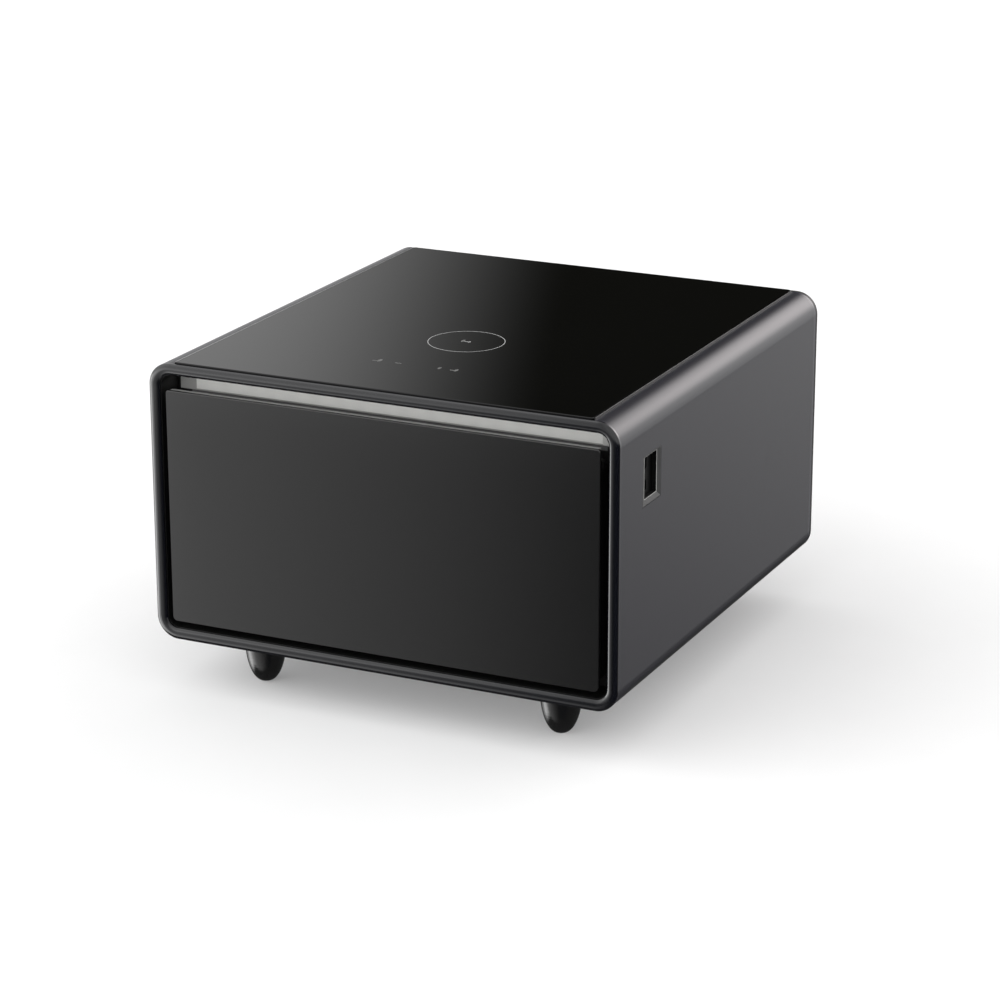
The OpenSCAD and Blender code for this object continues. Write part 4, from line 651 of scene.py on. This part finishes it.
# Nodes that need more than their slot's finish
ownFinish = {"outer_wrap": "sleeve", "glass_edge_trims": "edgeStrip", "usb_bezel": "portFrame",
             "light_end_caps": "barEnd", "light_housing": "light_caps", "seal_frame": "sealFrame",
             "pull_rail": "rail_plastic"}


def makeFinishes():
    finishes = {name: make(name, setup) for make, family in families for name, setup in family.items()}
    finishes.update({name: make(name) for name, make in singles.items()})
    return finishes


def dressNodes(finishes):
    for part in frame["record"]["subparts"]:
        shape = nodes[part["node"]].data
        shape.materials.clear()
        shape.materials.append(finishes[ownFinish.get(part["node"], part["material_slot"])])


finishes = makeFinishes()
dressNodes(finishes)
print("finishes made:", len(finishes))

# Small pieces that the CAD leaves to the looks. Their lengths are in millimetres; whole numbers are counts.


weldDistance = 1e-6


def tidyShell(mesh):
    shell = bmesh.new()
    shell.from_mesh(mesh)
    bmesh.ops.remove_doubles(shell, verts=shell.verts, dist=weldDistance)
    bmesh.ops.recalc_face_normals(shell, faces=shell.faces)
    shell.to_mesh(mesh)
    shell.free()


def keepPiece(name, shape, body):
    tidyShell(shape)
    piece = stand(name, shape)
    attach(piece, body)


def growPiece(name, sizes, layOut, finish, body):
    # layOut wires the tree from its named inputs, and the result is kept as a plain mesh
    tree = bpy.data.node_groups.new(name + "Tree", "GeometryNodeTree")
    board = Board(tree)
    for label, value in sizes.items():
        kind = "NodeSocketInt" if isinstance(value, int) else "NodeSocketFloat"
        tree.interface.new_socket(label, in_out="INPUT", socket_type=kind)
    tree.interface.new_socket("Geometry", in_out="OUTPUT", socket_type="NodeSocketGeometry")
    entry = tree.nodes.new("NodeGroupInput")
    inputs = {label: Signal(board, entry.outputs[label]) for label in sizes}
    solid = board.add("GeometryNodeRealizeInstances", inputs={0: layOut(board, inputs)})
    dressed = board.add("GeometryNodeSetMaterial", inputs={"Geometry": solid, "Material": finishes[finish]})
    leave = tree.nodes.new("NodeGroupOutput")
    tree.links.new(dressed.socket, leave.inputs[0])
    grower = stand(name + "Grower", bpy.data.meshes.new(name + "Seed"))
    modifier = grower.modifiers.new("layOut", "NODES")
    modifier.node_group = tree
    for item in tree.interface.items_tree:
        if item.in_out == "INPUT":
            value = sizes[item.name]
            modifier[item.identifier] = value if isinstance(value, int) else value * millimetre
    shape = bpy.data.meshes.new_from_object(grower.evaluated_get(bpy.context.evaluated_depsgraph_get()))
    grower.modifiers.remove(modifier)
    bpy.data.objects.remove(grower)
    keepPiece(name, shape, body)


def rectangle(board, width, height):
    inputs = {"Width": width, "Height": height}
    return board.add("GeometryNodeCurvePrimitiveQuadrilateral", {"mode": "RECTANGLE"}, inputs)


def circle(board, steps, radius):
    inputs = {"Resolution": steps, "Radius": radius}
    return board.add("GeometryNodeCurvePrimitiveCircle", {"mode": "RADIUS"}, inputs)


chargeRing = {"across": 2.5, "along": -94.5, "radius": 51.6, "width": 0.95, "height": 0.12, "level": 460.0,
              "steps": 160}


def layRing(board, size):
    path = circle(board, size["steps"], size["radius"])
    section = rectangle(board, size["width"], size["height"])
    band = board.add("GeometryNodeCurveToMesh", inputs={"Curve": path, "Profile Curve": section})
    middle = board.join(size["across"], size["along"], size["level"])
    return board.add("GeometryNodeTransform", inputs={"Geometry": band, "Translation": middle})


growPiece("chargeRing", chargeRing, layRing, "brightInk", "cabinet")

# Marks on the glass, each a bar or an oval: middle x, middle y, width, depth

printed = {"face": 460.0, "sunk": 0.06, "ovalSteps": 20}
markSets = [
    {"name": "centreMarkDim", "ink": "dimInk", "rise": 0.04, "marks": [(-3.0, -93.2, 4.4, 11.0, "oval")]},
    {"name": "centreMarkBright", "ink": "brightInk", "rise": 0.05,
     "marks": [(4.2, -95.2, 9.0, 1.5, "bar"), (7.0, -95.0, 4.2, 5.0, "oval")]},
    {"name": "touchMarks", "ink": "dimInk", "rise": 0.04,
     "marks": [(-65.5, -229.0, 7.0, 2.2, "bar"), (-59.8, -226.0, 6.0, 12.0, "oval"), (-32.0, -227.5, 9.0, 2.6, "bar"),
               (27.5, -226.0, 4.2, 9.0, "oval"), (46.5, -228.0, 6.0, 3.0, "bar"), (51.8, -226.6, 5.2, 10.0, "oval")]},
]


def outlineOf(mark):
    x, y, width, depth, form = mark
    if form == "bar":
        return [(x + side * width / 2, y + end * depth / 2) for side, end in ((-1, -1), (1, -1), (1, 1), (-1, 1))]
    turns = [math.tau * step / printed["ovalSteps"] for step in range(printed["ovalSteps"])]
    return [(x + width / 2 * math.cos(turn), y + depth / 2 * math.sin(turn)) for turn in turns]


def printMarks(setup):
    shell = bmesh.new()
    for mark in setup["marks"]:
        outline = [Vector((x, y, printed["face"])) for x, y in outlineOf(mark)]
        lower, upper = ([shell.verts.new((point + Vector((0.0, 0.0, lift))) * millimetre) for point in outline]
                        for lift in (-printed["sunk"], setup["rise"]))
        shell.faces.new(upper)
        shell.faces.new(lower[::-1])
        for step in range(len(outline)):
            after = (step + 1) % len(outline)
            shell.faces.new((lower[step], lower[after], upper[after], upper[step]))
    shape = bpy.data.meshes.new(setup["name"])
    shell.to_mesh(shape)
    shell.free()
    shape.materials.append(finishes[setup["ink"]])
    keepPiece(setup["name"], shape, "cabinet")


for markSet in markSets:
    printMarks(markSet)

# Painted highlights: pale wires round the port's hole and round the bezel's mouth, where their edges would catch light
portHighlightWires = {
    "portRim": {"depth": 333.85, "middle": -246.5, "height": 362.65, "long": 40.6, "tall": 56.0, "corner": 0.8,
                "thick": 0.38, "cornerSteps": 6, "wireSteps": 10},
    "mouthRim": {"depth": 336.0, "middle": -247.0, "height": 360.4, "long": 56.6, "tall": 64.6, "corner": 1.2,
                 "thick": 0.3, "cornerSteps": 6, "wireSteps": 10},
}


def layHighlightWire(board, size):
    # A pale wire bent round a rectangle that faces +X, a painted highlight along an edge
    square = rectangle(board, size["long"], size["tall"])
    corners = {"Curve": square, "Count": size["cornerSteps"], "Radius": size["corner"]}
    path = board.add("GeometryNodeFilletCurve", {"mode": "POLY"}, corners)
    section = circle(board, size["wireSteps"], size["thick"])
    wire = board.add("GeometryNodeCurveToMesh", inputs={"Curve": path, "Profile Curve": section})
    middle = board.join(size["depth"], size["middle"], size["height"])
    upright = (math.pi / 2, 0.0, math.pi / 2)
    return board.add("GeometryNodeTransform", inputs={"Geometry": wire, "Translation": middle, "Rotation": upright})


# Each wire is a painted highlight line
for name, sizes in portHighlightWires.items():
    growPiece(name, sizes, layHighlightWire, "light_caps", "cabinet")

floorRibs = {"firstAcross": -240.0, "pitch": 16.0, "count": 31, "from": -280.0, "to": 38.0, "height": 136.4,
             "thick": 1.6, "wireSteps": 8}


def layRibs(board, size):
    # Half-round ribs along the drawer's floor; the divider stands between two of them
    section = circle(board, size["wireSteps"], size["thick"])
    start, end = (board.join(y=size[name], z=size["height"]) for name in ("from", "to"))
    path = board.add("GeometryNodeCurvePrimitiveLine", inputs={"Start": start, "End": end})
    rib = board.add("GeometryNodeCurveToMesh", inputs={"Curve": path, "Profile Curve": section, "Fill Caps": True})
    first, pitch = board.join(size["firstAcross"]), board.join(size["pitch"])
    row = {"Count": size["count"], "Start Location": first, "Offset": pitch}
    spots = board.add("GeometryNodeMeshLine", inputs=row)
    return board.add("GeometryNodeInstanceOnPoints", inputs={"Points": spots, "Instance": rib})


growPiece("drawerFloorRibs", floorRibs, layRibs, "drawer_plastic", "drawer")
print("small pieces made")

print("scene made")
